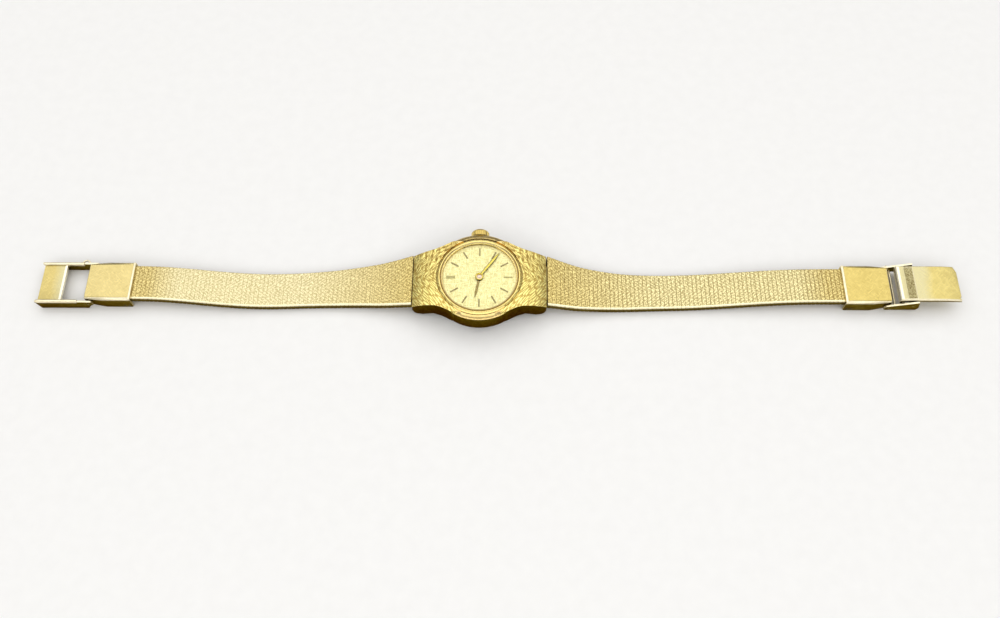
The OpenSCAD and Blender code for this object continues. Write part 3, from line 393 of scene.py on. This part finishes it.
LOOK = {
    "polished": polished_gold("polished_gold", (0.86, 0.66, 0.28), (0.74, 0.53, 0.19)),
    # case side walls: the case's gold darkened to deep brown, painted shade and a painted dark reflection
    # of the shaded table
    "wall": polished_gold("case_wall_painted_shade", (0.14, 0.105, 0.03), (0.085, 0.063, 0.018), 0.24,
                          seam=BEZEL_R, slant=SLANT_BROWN),
    "bezel": polished_gold("bezel_gold", (0.93, 0.76, 0.29), (0.84, 0.65, 0.22), 0.24),
    "bark": bark_gold("bark_gold"),
    "mesh_left": mesh_gold("mesh_gold_left", 0.6, PALE, (0.56, 0.47, 0.23), CAP_START["left"]),
    "mesh_right": mesh_gold("mesh_gold_right", 1.0, (0.95, 0.85, 0.46), (0.44, 0.35, 0.15),
                            CAP_START["right"]),
    # pale cream on the band's near top edge only: a painted highlight
    "bead": polished_gold("bead_painted_highlight", (0.98, 0.92, 0.64), (0.90, 0.80, 0.50), 0.3),
    # the band's sides: gold darkened to brown, painted shade and a painted dark reflection
    "band_wall": polished_gold("band_wall_painted_shade", (0.21, 0.16, 0.055), (0.14, 0.105, 0.035), 0.34,
                               slant=SLANT_BROWN),
    # pale gold on the jump ring: a painted highlight
    "jump_ring_highlight": polished_gold("jump_ring_highlight_gold", (0.80, 0.69, 0.38), (0.68, 0.55, 0.26), 0.2),
    # pale cream for the clasp's rounded edges, rails, lips and link frame: a painted highlight
    "bright": polished_gold("painted_highlight_gold", (0.93, 0.85, 0.62), (0.82, 0.72, 0.46), 0.32),
    # clasp sides and pins: gold darkened to brown, painted shade
    "clasp_wall": polished_gold("clasp_wall_painted_shade", (0.22, 0.17, 0.055), (0.14, 0.105, 0.03), 0.28,
                                slant=SLANT_BROWN),
    # the band's loop on the lug pin: darkened gold, painted shade of the narrow gap
    "knuckle": polished_gold("knuckle_painted_shade", (0.36, 0.28, 0.11), (0.22, 0.17, 0.06), 0.3),
    "cap_left": brushed_gold("brushed_gold_left", (0.70, 0.575, 0.25), (0.55, 0.44, 0.18)),
    "cap_right": brushed_gold("brushed_gold_right", (0.675, 0.535, 0.178), (0.52, 0.40, 0.12)),
    "catch": brushed_gold("brushed_gold_catch", (0.66, 0.535, 0.205), (0.52, 0.41, 0.145),
                          pale=(-84.9, -86.6), lip=(-84.75, -84.0)),
    "hook": brushed_gold("brushed_gold_hook", (0.66, 0.545, 0.20), (0.52, 0.42, 0.145),
                         pale=(88.8, 90.8), dark=(85.27, 87.07), lip=(83.5, 84.45)),
    "brushed_pale": brushed_gold("brushed_pale_gold", (0.86, 0.75, 0.45), (0.66, 0.54, 0.28)),
    "crown": fluted_crown(),
    "steel": metal("satin_steel", (0.63, 0.63, 0.63), (0.47, 0.47, 0.47), 0.26),
    "turned": turned_steel(),
    "brass": metal("movement_brass", (0.76, 0.56, 0.24), (0.62, 0.43, 0.16), 0.28),
    "hand": metal("hand_gold", (0.74, 0.62, 0.12), (0.64, 0.52, 0.09), 0.22),
    "hour_gold": metal("hour_hand_gold", (0.40, 0.30, 0.11), (0.28, 0.20, 0.07), 0.3),
    "edge": metal("dial_edge_gold", (0.56, 0.44, 0.18), (0.44, 0.34, 0.13), 0.3),
    "outline": metal("hand_outline", (0.24, 0.19, 0.06), (0.17, 0.13, 0.04), 0.32),
    "marker": marker_paint(),
    "amber": moulded("amber_plastic", (0.46, 0.34, 0.13), (0.38, 0.27, 0.09), 0.4),
    "hub": metal("hub_metal", (0.84, 0.68, 0.56), (0.74, 0.58, 0.46), 0.14),
    "dark": metal("dark_trim", (0.10, 0.085, 0.06), (0.06, 0.05, 0.035), 0.32),
    "dial": dial_linen(),
    "plastic": moulded("pale_plastic", (0.80, 0.77, 0.68), (0.74, 0.70, 0.60), 0.45),
    "rubber": moulded("black_rubber", (0.03, 0.03, 0.03), (0.02, 0.02, 0.02), 0.6),
    "board": moulded("green_board", (0.05, 0.20, 0.09), (0.03, 0.14, 0.06), 0.4, 3),
    "copper": wound_copper(),
    "crystal": clear_crystal(),
}

NODE_LOOK = {
    "crown": ["crown"],
    "jump_ring_highlight": ["jump_ring"],
    # the clasp's pins take the walls' painted shade, so that they sink out of sight
    "clasp_wall": ["catch_pin", "link_pin", "hook_pin"],
    "steel": ["lug_pins", "bridge_screws", "battery", "stator", "quartz_can", "rotor", "stem", "clutch",
              "setting_lever", "yoke"],
    "turned": ["case_back"],
    "brass": ["case_tube", "main_plate", "train_bridge", "battery_clamp", "intermediate_wheel",
              "centre_wheel", "minute_wheel", "hour_wheel"],
    "hub": ["cannon_pinion"],
    "marker": ["hour_markers"],
    "dark": ["lock_pins_left", "lock_pins_right"],
    "amber": ["crystal_gasket"],
    "dial": ["dial"],
    "plastic": ["movement_ring"],
    "rubber": ["back_gasket", "crown_gasket"],
    "board": ["circuit_board"],
    "copper": ["coil"],
    "crystal": ["crystal"],
    "brushed_pale": ["lock_plate_left", "lock_plate_right"],
}
for look, names in NODE_LOOK.items():
    for name in names:
        data = NODES[name].data
        for slot in range(max(1, len(data.materials))):
            if slot < len(data.materials):
                data.materials[slot] = LOOK[look]
            else:
                data.materials.append(LOOK[look])


# Mesh helpers
def piece(name, data, looks, body=None, stands_for=()):
    """A piece of the visual model: its finish, the body it rides on and the nodes it replaces."""
    for look in looks:
        data.materials.append(LOOK[look])
    o = bpy.data.objects.new(name, data)
    bpy.context.scene.collection.objects.link(o)
    if body:
        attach(o, body)
    if stands_for:
        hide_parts(*stands_for)
    return o


def smooth(data, angle=38):
    """Smooth shading, with edges above that angle kept sharp."""
    data.shade_smooth()
    data.set_sharp_from_angle(angle=math.radians(angle))


def round_edges(bm, edges, width, segments=3, look=0, clamp=False):
    bmesh.ops.bevel(bm, geom=edges, offset=width * MM, offset_type="OFFSET", segments=segments, profile=0.5,
                    affect="EDGES", clamp_overlap=clamp, material=look)


def rounded_copy(node, width, edge_look, sharp=24):
    """A CAD node's surface as clean faces, with its edges rounded."""
    bm = bmesh.new()
    bm.from_mesh(NODES[node].data)
    for f in bm.faces:
        f.material_index = 0
    for layer in list(bm.loops.layers.float_vector.values()):
        bm.loops.layers.float_vector.remove(layer)
    bmesh.ops.remove_doubles(bm, verts=bm.verts, dist=2e-6)
    bmesh.ops.dissolve_limit(bm, angle_limit=math.radians(0.7), verts=bm.verts, edges=bm.edges)
    edges = [e for e in bm.edges if len(e.link_faces) == 2 and e.calc_face_angle(0) > math.radians(sharp)]
    round_edges(bm, edges, width, look=edge_look, clamp=True)
    bmesh.ops.recalc_face_normals(bm, faces=bm.faces)
    if bm.calc_volume(signed=True) < 0:
        bmesh.ops.reverse_faces(bm, faces=bm.faces)
    bm.normal_update()
    return bm


def to_mesh(bm, name):
    data = bpy.data.meshes.new(name)
    bm.to_mesh(data)
    bm.free()
    return data


def prism(bm, low, high):
    """Faces between two outlines of vertices, and over both."""
    bm.faces.new(low)
    bm.faces.new(list(reversed(high)))
    for i in range(len(low)):
        j = (i + 1) % len(low)
        bm.faces.new((low[i], high[i], high[j], low[j]))


def arc(cx, cz, r, a0, a1, steps=6):
    """Points on a circle, from one angle in degrees to another."""
    angles = [math.radians(a0 + (a1 - a0) * k / steps) for k in range(steps + 1)]
    return [(cx + r * math.cos(a), cz + r * math.sin(a)) for a in angles]


def lathe(name, profile, steps=192):
    """A ring turned about z from (radius, z) points in mm."""
    bm = bmesh.new()
    rows = []
    for k in range(steps):
        x, y = math.cos(math.tau * k / steps), math.sin(math.tau * k / steps)
        rows.append([bm.verts.new((r * x * MM, r * y * MM, z * MM)) for r, z in profile])
    n = len(profile)
    for k in range(steps):
        a, b = rows[k], rows[(k + 1) % steps]
        for i in range(n):
            j = (i + 1) % n
            bm.faces.new((a[i], b[i], b[j], a[j]))
    bmesh.ops.recalc_face_normals(bm, faces=bm.faces)
    return to_mesh(bm, name)


def refine(bm, chosen, longest):
    """Splits the chosen faces until no edge of theirs is longer than that."""
    for _ in range(7):
        faces = [f for f in bm.faces if chosen(f)]
        bmesh.ops.triangulate(bm, faces=faces)
        faces = [f for f in bm.faces if chosen(f)]
        edges = {e for f in faces for e in f.edges if e.calc_length() > longest * MM}
        if not edges:
            break
        bmesh.ops.subdivide_edges(bm, edges=list(edges), cuts=1)
    bmesh.ops.triangulate(bm, faces=[f for f in bm.faces if chosen(f)])


def strokes(x, y, along=0.7, across=3.2):
    """Bark relief in real depth: strokes in one slanting direction, mirrored about both axes."""
    a = math.radians(STROKE_ANGLE if y > 0 else -STROKE_ANGLE)
    x = abs(x)
    u = x * math.cos(a) - y * math.sin(a)
    v = x * math.sin(a) + y * math.cos(a)
    return noise.noise(Vector((u * along, v * across, 0.3 if y > 0 else 8.3)))


# Case and bezel
CURVE_FROM = 6.2
BARK_FROM = 4.4
BARK_FOOT = 3.4
BARK_DEPTH = 0.035


def shoulder_face(f):
    """Faces that the bark covers: the top outside the bezel, but not its near and far crescents."""
    c = f.calc_center_median() / MM
    outside = math.hypot(c.x, c.y) > BEZEL_R + 0.04
    return outside and f.normal.z > 0.35 and abs(c.x) > BARK_FROM and c.z > BARK_FOOT


def packed_top(x):
    """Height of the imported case's top along the band's line, in straight stretches."""
    return float(np.interp(abs(x), (8.65, 11.0, 13.35), (CASE_TOP, 4.9, 3.65)))


def curved_top(x):
    """The same slope as one curve that starts beside the bezel."""
    return CASE_TOP - 0.045 * max(0, abs(x) - CURVE_FROM) ** 2


def make_case():
    """Case and shoulders as one shell, with the bark in relief and the slope as one curve."""
    looks = ["wall", "bark", "polished"]
    bm = rounded_copy("case_body", 0.17, looks.index("polished"), sharp=30)
    refine(bm, shoulder_face, 0.2)
    marked = {v for f in bm.faces if shoulder_face(f) for v in f.verts}
    inner = [v for v in marked if all(shoulder_face(f) for f in v.link_faces)]
    # faces left on the first look are the walls, in painted shade
    for f in bm.faces:
        c = f.calc_center_median() / MM
        away = math.hypot(c.x, c.y)
        beside_bezel = away < BEZEL_R + 0.2 and c.z > 5.3 and abs(c.x) > 3.4
        on_top = away > BEZEL_R and c.z > 3.3 and f.normal.z > 0.2
        if shoulder_face(f):
            f.material_index = looks.index("bark")
        elif beside_bezel or on_top:
            f.material_index = looks.index("polished")
    for v in inner:
        v.co.z += (strokes(v.co.x / MM, v.co.y / MM) - 0.35) * BARK_DEPTH * MM
    for v in bm.verts:
        x, y, z = v.co / MM
        if abs(x) > CURVE_FROM and math.hypot(x, y) > BEZEL_R - 0.02:
            share = min(1, max(0, (z - packed_top(x) + 0.7) / 0.5))
            v.co.z += share * (curved_top(x) - packed_top(x)) * MM
    data = to_mesh(bm, "case_shell")
    smooth(data)
    piece("case_shell", data, looks, "case", ["case_body"])


def make_bezel():
    """The stepped bezel, and the thin ring at the dial's edge."""
    profile = [(7.42, 5.62), (BEZEL_R, 5.62), (BEZEL_R, 5.74), (8.5, 5.86), (8.28, 6.02)]
    profile += arc(8.0, 5.97, 0.18, 55, 150) + [(7.70, 5.97), (7.70, 5.86), (7.42, 5.86)]
    data = lathe("bezel_ring", profile)
    smooth(data, 50)
    # the outer slope has the shoulders' finish where it meets them
    for f in data.polygons:
        if math.hypot(f.center.x, f.center.y) > 8.1 * MM and abs(f.center.x) > 5 * MM:
            f.material_index = 1
    piece("bezel_ring", data, ["bezel", "bark"], "case", ["bezel"])
    edge = [(7.28, 5.3), (7.39, 5.3), (7.39, 5.37), (7.28, 5.33)]
    piece("dial_edge", lathe("dial_edge", edge), ["edge"], "case")


# The band's middle line and width, by the distance u from the case's centre: its slopes at the
# first three hinges, and where it climbs to the cap
SLOPES = [-0.176, -0.115, 0]
RISE = (40, 66)


def half_w(u):
    """Half the band's width, which narrows from the root on."""
    f = min(1, max(0, 1 - (u - BAND_START) / FLARE))
    return (BAND_W + (ROOT_W - BAND_W) * f * f) / 2


def lie(u, side):
    """How far the band bows towards the viewer, most near the case on the right."""
    t = min(1, max(0, (u - BAND_START) / (CAP_START[side] - BAND_START)))
    start = min(1, max(0, 1 - (u - BAND_START) / 8))
    return 0.4 * start * start - LIE_BOW * math.sin(math.pi * t ** LIE_PEAK[side]) ** 2


def height(u):
    """Height of the band's middle line: down from the shoulder, level, and up to the cap."""
    if u <= HINGES[0][0]:
        return HINGES[0][1] + SLOPES[0] * (u - HINGES[0][0])
    for i in range(2):
        (x0, z0), (x1, z1) = HINGES[i], HINGES[i + 1]
        if u <= x1:
            h = x1 - x0
            t = (u - x0) / h
            return ((2 * t**3 - 3 * t**2 + 1) * z0 + (t**3 - 2 * t**2 + t) * h * SLOPES[i]
                    + (3 * t**2 - 2 * t**3) * z1 + (t**3 - t**2) * h * SLOPES[i + 1])
    t = min(1, max(0, (u - RISE[0]) / (RISE[1] - RISE[0])))
    return HINGES[2][1] + (HINGES[5][1] - HINGES[2][1]) * t * t * (3 - 2 * t)


def on_row(u):
    """The groove between two rows that is nearest."""
    return BAND_START + RIB * round((u - BAND_START) / RIB)


# The band's cross-section: steps across, half thickness, and radii of the upper and lower edge
ACROSS = 30
HALF_T = 0.8
BEAD_R = 0.2
FOOT_R = 0.25
TOP, BEAD, WALL = 0, 1, 2


def section(hw):
    """Half outline of the band's cross-section from the top's middle down: (v, w, relief, look)."""
    bead_v, bead_w = hw - BEAD_R, HALF_T - BEAD_R
    foot_v, foot_w = hw - FOOT_R, FOOT_R - HALF_T
    out = [(bead_v * k / ACROSS, HALF_T, 1.0, TOP) for k in range(ACROSS)]
    for a in (0, 0.4, 0.8, 1.2):
        out.append((bead_v + BEAD_R * math.sin(a), bead_w + BEAD_R * math.cos(a), 0.45, BEAD))
    out += [(hw, 0.5, 0.3, WALL), (hw, 0.0, 0.2, WALL), (hw, -0.45, 0.2, WALL)]
    for a in (0.5, 1.05):
        out.append((foot_v + FOOT_R * math.cos(a), foot_w - FOOT_R * math.sin(a), 0.2, WALL))
    out += [(foot_v * k / 8, -HALF_T, 0.2, TOP) for k in range(8, 0, -1)]
    return out


# Relief of the band's skin: grooves between the rows, and strokes over them
GROOVE_DEPTH = {"left": 0.03, "right": 0.05}
GROOVE_SHARE = 0.16
STROKE_DEPTH = 0.022


def band_strip(name, side, u0, u1):
    """The band between two distances from the case centre, ends closed."""
    count = max(2, round((u1 - u0) / (RIB / 10)))
    bm = bmesh.new()
    flat = bm.verts.layers.float_vector.new("flat")
    rings = []
    for k in range(count + 1):
        u = u0 + (u1 - u0) * k / count
        z = height(u)
        slope = (height(u + 0.05) - height(u - 0.05)) / 0.1
        length = math.hypot(1, slope)
        phase = (u - BAND_START) / RIB
        groove = max(0.0, 1 - abs(phase - round(phase)) / GROOVE_SHARE)
        half = section(half_w(u) - 0.07 * groove)
        full = half + [(0, -HALF_T, 0.2, TOP)] + [(-v, w, r, look) for v, w, r, look in reversed(half[1:])]
        ring = []
        for v, w, r, look in full:
            drop = r * (GROOVE_DEPTH[side] * groove + STROKE_DEPTH * (0.4 - strokes(u, v, 1.3, 4.0)))
            w2 = w - drop if w > 0 else w
            x, y = u - slope / length * w2, lie(u, side) + v
            vert = bm.verts.new((SIGN[side] * x * MM, y * MM, (z + w2 / length) * MM))
            vert[flat] = (u, v, w)
            ring.append(vert)
        rings.append(ring)
    n = len(full)
    looks = [point[3] for point in full]
    for a, b in zip(rings, rings[1:]):
        for i in range(n):
            face = bm.faces.new((a[i], a[(i + 1) % n], b[(i + 1) % n], b[i]))
            pair = {looks[i], looks[(i + 1) % n]}
            # near top edge: bead look, a painted highlight; side faces: band_wall look, painted shade
            face.material_index = BEAD if BEAD in pair and i > n // 2 else WALL if WALL in pair else TOP
    bm.faces.new(rings[0])
    bm.faces.new(list(reversed(rings[-1])))
    bmesh.ops.recalc_face_normals(bm, faces=bm.faces)
    data = to_mesh(bm, name)
    smooth(data, 62)
    return data


# The root under the shoulder, the strips over the hinges, and the loop on the lug pin
ROOT_REACH = {"left": 0.2, "right": 0.1}
KNUCKLE_R = 0.95
KNUCKLE_HALF = 3.8


def make_knuckle(side, body):
    """The band's loop round the lug pin."""
    outline = arc(*LUG, KNUCKLE_R, 70, 295, 15)
    outline += [(BAND_START + 0.7, 1.95), (BAND_START + 0.7, 2.9), (BAND_START - 0.2, 2.95)]
    bm = bmesh.new()
    near, away = [[bm.verts.new((SIGN[side] * x * MM, y * MM, z * MM)) for x, z in outline]
                  for y in (-KNUCKLE_HALF, KNUCKLE_HALF)]
    prism(bm, near, away)
    bmesh.ops.recalc_face_normals(bm, faces=bm.faces)
    data = to_mesh(bm, "lug_knuckle")
    smooth(data)
    # darker gold: painted shade, as the loop sits deep in the gap
    piece(f"lug_knuckle_{side}", data, ["knuckle"], body)


def make_band(side):
    """A root on the first body, a fixed strip over each hinge line, and an end under the cap."""
    bodies = [f"band_{side}_{i}_body" for i in range(1, 6)] + [f"{side}_end"]
    joints = [x for x, z in HINGES[1:]]
    looks = [f"mesh_{side}", "bead", "band_wall"]
    middles = [on_row((a + b) / 2) for a, b in zip([BAND_START] + joints, joints)]
    middles.append(on_row(joints[-1] + 4))
    root = band_strip("root", side, BAND_START - ROOT_REACH[side], middles[0])
    piece(f"mesh_{side}_root", root, looks, bodies[0], [f"band_{side}_1"])
    for i, (x, z) in enumerate(HINGES[1:]):
        strip = band_strip("strip", side, middles[i], middles[i + 1])
        o = piece(f"mesh_{side}_{i + 1}", strip, looks,
                  stands_for=[f"band_{side}_{i + 2}"] if i < 4 else ())
        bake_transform(o)
    end = band_strip("end", side, middles[5], CAP_START[side] + TONGUE)
    piece(f"mesh_{side}_end", end, looks, bodies[5], [f"band_{side}_6"])
    make_knuckle(side, bodies[0])


# Clasp: the far edges roll over less, and the rails and lips are bars
# slots of the clasp's shells: 1 a painted highlight on rounded edges, 2 painted shade on the sides
BRIGHT, SHADED_SIDE = 1, 2
FAR_SIZE = 0.4
RAIL_X = (-89.15, -80.7)
RAIL_Y = (3.92, 4.6)
RAIL_Z = (2.02, 2.68)
LIP_X = {"left": (-70.42, -69.98), "right": (72.98, 73.48)}
LIP_Y = (-4.22, 4.22)
LIP_Z = (3.0, 3.27)


def bar(name, body, x, y, z, rounding=0.08):
    """A straight polished bar with rounded edges in the pale painted-highlight colour, from one value to
    another on each axis.
    """
    bm = bmesh.new()
    bmesh.ops.create_cube(bm, size=1)
    for v in bm.verts:
        v.co = Vector([(a + b) / 2 + c * (b - a) for (a, b), c in zip((x, y, z), v.co)]) * MM
    round_edges(bm, bm.edges[:], rounding)
    data = to_mesh(bm, name)
    smooth(data, 50)
    piece(name, data, ["bright"], body)


def roll_over(bm, half, reach, drop):
    """Bends the top sheet's long edges down in an arc, which is broader on the viewer's side, and gives the
    faces along them the painted highlight. The sheet is first cut along the arc, at both of its half
    widths."""
    top = max(v.co.z for v in bm.verts) / MM
    for share in (0, 0.25, 0.45, 0.6, 0.72, 0.82, 0.9, 0.96):
        for side, size in ((-1, 1), (1, FAR_SIZE)):
            for widest in {half(0), half(1e9)}:
                y = side * (widest - size * reach * (1 - share)) * MM
                bmesh.ops.bisect_plane(bm, geom=bm.verts[:] + bm.edges[:] + bm.faces[:], dist=1e-6,
                                       plane_no=(0, 1, 0), plane_co=(0, y, 0))
    bm.normal_update()
    for f in bm.faces:
        c = f.calc_center_median() / MM
        size = 1 if c.y < 0 else FAR_SIZE
        if f.normal.z > 0.3 and c.z > top - 0.4 and abs(c.y) > half(abs(c.x)) - 0.62 * size * reach:
            f.material_index = BRIGHT
    for v in bm.verts:
        x, y, z = v.co / MM
        size = 1 if y < 0 else FAR_SIZE
        a = min(1, max(0, (abs(y) - half(abs(x))) / (size * reach) + 1))
        v.co.z -= size * drop * (1 - math.sqrt(1 - a * a)) * min(1, max(0, (z - top + 0.9) / 0.5)) * MM
    bm.normal_update()


def cap_half(x):
    """Half width of a clasp cap at that distance from its band end; beyond it the ears narrow."""
    return float(np.interp(x, (5.52, 9.1), (CAP_HALF, CLASP_HALF)))


def make_clasp():
    """Shells over the clasp's plates, the catch's rails and the caps' lips."""
    # the link frame is all in the painted-highlight colour
    plates = [("clasp_cap_left", "left_end", "cap_left", 0.12),
              ("clasp_cap_right", "right_end", "cap_right", 0.12),
              ("catch_frame", "catch_body", "catch", 0.16),
              ("link_frame", "link_body", "bright", 0.07),
              ("hook_plate", "hook_body", "hook", 0.16)]
    for node, body, look, width in plates:
        looks = [look, "bright", "clasp_wall"]
        bm = rounded_copy(node, width, BRIGHT)
        for f in bm.faces:
            c = f.calc_center_median() / MM
            # faces towards or away from the viewer: painted shade
            if abs(f.normal.y) > 0.8:
                f.material_index = SHADED_SIDE
            # the catch's rail faces get the painted highlight
            elif node == "catch_frame" and abs(c.y) > RAIL_Y[0] - 0.02:
                f.material_index = BRIGHT
        if "cap" in node:
            begin = CAP_START[node.rsplit("_", 1)[1]]
            roll_over(bm, lambda x: cap_half(x - begin), 0.95, 0.5)
        elif node == "hook_plate":
            roll_over(bm, lambda x: CLASP_HALF, 0.6, 0.3)
        data = to_mesh(bm, node + "_shell")
        smooth(data)
        piece(node + "_shell", data, looks, body, [node])
    # the catch's rails are thicker above than the sheet, and round
    bar("catch_rail_near", "catch_body", RAIL_X, (-RAIL_Y[1], -RAIL_Y[0]), RAIL_Z, 0.25)
    bar("catch_rail_far", "catch_body", RAIL_X, RAIL_Y, RAIL_Z, 0.25)
    # the caps' edges on the band's side are turned over and polished, in the pale painted-highlight colour
    for side in SIGN:
        bar(f"cap_lip_{side}", f"{side}_end", LIP_X[side], LIP_Y, LIP_Z)


# Hands: angles from +X in degrees, and heights of each hand's foot, middle and top
MINUTE_ANGLE = 54.0
HOUR_ANGLE = -100.5
MINUTE_Z = (5.58, 5.64, 5.68)
HOUR_Z = (5.42, 5.48, 5.5)


def leaf(name, half_outline, hub, heights, angle, look, body, stands_for=()):
    """A flat hand with a round hub, from (length, half width) points."""
    blade = [(x, w) for x, w in half_outline] + [(x, -w) for x, w in reversed(half_outline)]
    turns = [math.tau * k / 48 for k in range(48, 0, -1)]
    bm = bmesh.new()
    for outline in (blade, [(hub * math.cos(a), hub * math.sin(a)) for a in turns]):
        low, high = [[bm.verts.new((x * MM, y * MM, z * MM)) for x, y in outline] for z in heights]
        prism(bm, low, high)
    bmesh.ops.recalc_face_normals(bm, faces=bm.faces)
    top = [e for e in bm.edges if all(v.co.z > (heights[1] - 0.001) * MM for v in e.verts)]
    round_edges(bm, top, 0.018, segments=2, clamp=True)
    bm.transform(Matrix.Rotation(math.radians(angle), 4, "Z"))
    data = to_mesh(bm, name)
    smooth(data, 40)
    piece(name, data, [look], body, stands_for)


def make_hands():
    """Gold batons with dark outlines, and the dome over the hub."""
    leaf("minute_hand_base", [(-0.9, 0.14), (0.6, 0.26), (4.9, 0.34), (6.75, 0.08)], 0.72, MINUTE_Z[:2],
         MINUTE_ANGLE, "outline", "minute_arbor", ["minute_hand"])
    leaf("minute_hand_face", [(-0.8, 0.06), (0.7, 0.14), (4.8, 0.2), (6.4, 0.04)], 0.66, MINUTE_Z[1:],
         MINUTE_ANGLE, "hand", "minute_arbor")
    leaf("hour_hand_base", [(-0.9, 0.12), (0.6, 0.2), (3.4, 0.24), (4.6, 0.06)], 0.7, HOUR_Z[:2],
         HOUR_ANGLE, "outline", "hour_arbor", ["hour_hand"])
    leaf("hour_hand_face", [(-0.8, 0.04), (0.7, 0.08), (3.1, 0.1), (4.3, 0.02)], 0.6, HOUR_Z[1:],
         HOUR_ANGLE, "hour_gold", "hour_arbor")
    dome = [(0.02, 5.9), (0.2, 5.885), (0.36, 5.83), (0.43, 5.76), (0.43, 5.68), (0.02, 5.68)]
    ring = [(0.82, 5.66), (0.82, 5.70)] + arc(0.69, 5.70, 0.1, 20, 160) + [(0.52, 5.66)]
    for name, profile, steps, look in (("hub_dome", dome, 64, "hub"), ("hub_ring", ring, 96, "hand")):
        data = lathe(name, profile, steps)
        smooth(data, 60)
        piece(name, data, [look], "minute_arbor")


make_case()
make_bezel()
make_hands()
for side in SIGN:
    make_band(side)
make_clasp()

# Table, in metres
BACKDROP = (0.93, 0.925, 0.91)
TABLE_HALF = 1.6
TABLE_Z = -0.00002
table = bpy.data.meshes.new("table")
corners = [(x * TABLE_HALF, y * TABLE_HALF, 0) for x, y in ((-1, -1), (1, -1), (1, 1), (-1, 1))]
table.from_pydata(corners, [], [(0, 1, 2, 3)])
floor = bpy.data.objects.new("table", table)
floor.location.z = TABLE_Z
bpy.context.scene.collection.objects.link(floor)
paint = Look("table_paint", (0.80, 0.79, 0.77), 0.6)
grain = paint.ramp(paint.noise(paint.place(), 0.4, 4), 0.3, 0.7)
paint.colour(paint.mix(grain, (0.86, 0.85, 0.83), (0.88, 0.87, 0.85)))
# far from the watch the table turns to the backdrop's even tone, where the camera looks at it
from_watch = paint.length(paint.place())
looked_at = paint.node("ShaderNodeLightPath", {}, out="Is Camera Ray")
share = paint.calc("MULTIPLY", paint.ramp(from_watch, 150, 450), looked_at)
even = paint.node("ShaderNodeEmission", {"Color": BACKDROP, "Strength": 1.0})
blend = paint.node("ShaderNodeMixShader", {0: share, 1: paint.shader.outputs[0], 2: even})
paint.tree.links.new(blend, paint.tree.nodes["Material Output"].inputs[0])
table.materials.append(paint.material)

# World: grey light, brighter from above, behind an even backdrop for the camera
SKY_LOW = (0.30, 0.30, 0.30, 1)
SKY_HIGH = (0.62, 0.62, 0.62, 1)
SKY_STRENGTH = 0.7
world = bpy.data.worlds.new("studio")
bpy.context.scene.world = world
world.use_nodes = True
tree = world.node_tree
sky = tree.nodes["Background"]
coordinate = tree.nodes.new("ShaderNodeTexCoord")
direction = tree.nodes.new("ShaderNodeSeparateXYZ")
ramp = tree.nodes.new("ShaderNodeValToRGB")
tree.links.new(coordinate.outputs["Generated"], direction.inputs[0])
tree.links.new(direction.outputs["Z"], ramp.inputs[0])
tree.links.new(ramp.outputs[0], sky.inputs[0])
ramp.color_ramp.elements[0].position = 0.0
ramp.color_ramp.elements[0].color = SKY_LOW
ramp.color_ramp.elements[1].position = 1.0
ramp.color_ramp.elements[1].color = SKY_HIGH
sky.inputs[1].default_value = SKY_STRENGTH
paths = tree.nodes.new("ShaderNodeLightPath")
backdrop = tree.nodes.new("ShaderNodeBackground")
backdrop.inputs[0].default_value = (*BACKDROP, 1)
either = tree.nodes.new("ShaderNodeMixShader")
tree.links.new(paths.outputs["Is Camera Ray"], either.inputs[0])
tree.links.new(sky.outputs[0], either.inputs[1])
tree.links.new(backdrop.outputs[0], either.inputs[2])
tree.links.new(either.outputs[0], tree.nodes["World Output"].inputs[0])


# Lamps, in metres and watts
def lamp(name, place, size, power):
    """An area lamp that faces the watch."""
    data = bpy.data.lights.new(name, "AREA")
    data.shape = "RECTANGLE"
    data.size, data.size_y = size
    data.energy = power
    o = bpy.data.objects.new(name, data)
    o.location = place
    o.rotation_euler = (-Vector(place)).to_track_quat("-Z", "Y").to_euler()
    bpy.context.scene.collection.objects.link(o)


lamp("key", (0, 0.22, 0.62), (1.8, 0.9), 5.6)
lamp("fill", (0, -0.40, 0.38), (1.3, 0.3), 1.6)

# Camera at the photograph's angle, fitted to the case, clasp and crown
ELEVATION = 63.35
AZIMUTH = 1.0
ROLL = -0.62
DISTANCE = 201.94
TARGET = Vector((4.115, -4.347, 0))
FOCAL = 1000
FRAME_W = 1000
SENSOR_W = 36
e, az, roll = (math.radians(v) for v in (ELEVATION, AZIMUTH, ROLL))
back = Vector((math.sin(az) * math.cos(e), -math.cos(az) * math.cos(e), math.sin(e)))
right = Vector((math.cos(az), math.sin(az), 0))
up = back.cross(right)
axis_x = right * math.cos(roll) + up * math.sin(roll)
axis_y = up * math.cos(roll) - right * math.sin(roll)
camera_data = bpy.data.cameras.new("photo_view")
camera_data.sensor_width = SENSOR_W
camera_data.lens = SENSOR_W * FOCAL / FRAME_W
camera_data.clip_start = 0.005
camera = bpy.data.objects.new("photo_view", camera_data)
camera.location = (TARGET + back * DISTANCE) * MM
camera.rotation_euler = Matrix((axis_x, axis_y, back)).transposed().to_euler()
bpy.context.scene.collection.objects.link(camera)
bpy.context.scene.camera = camera
bpy.context.scene.view_settings.view_transform = "Standard"
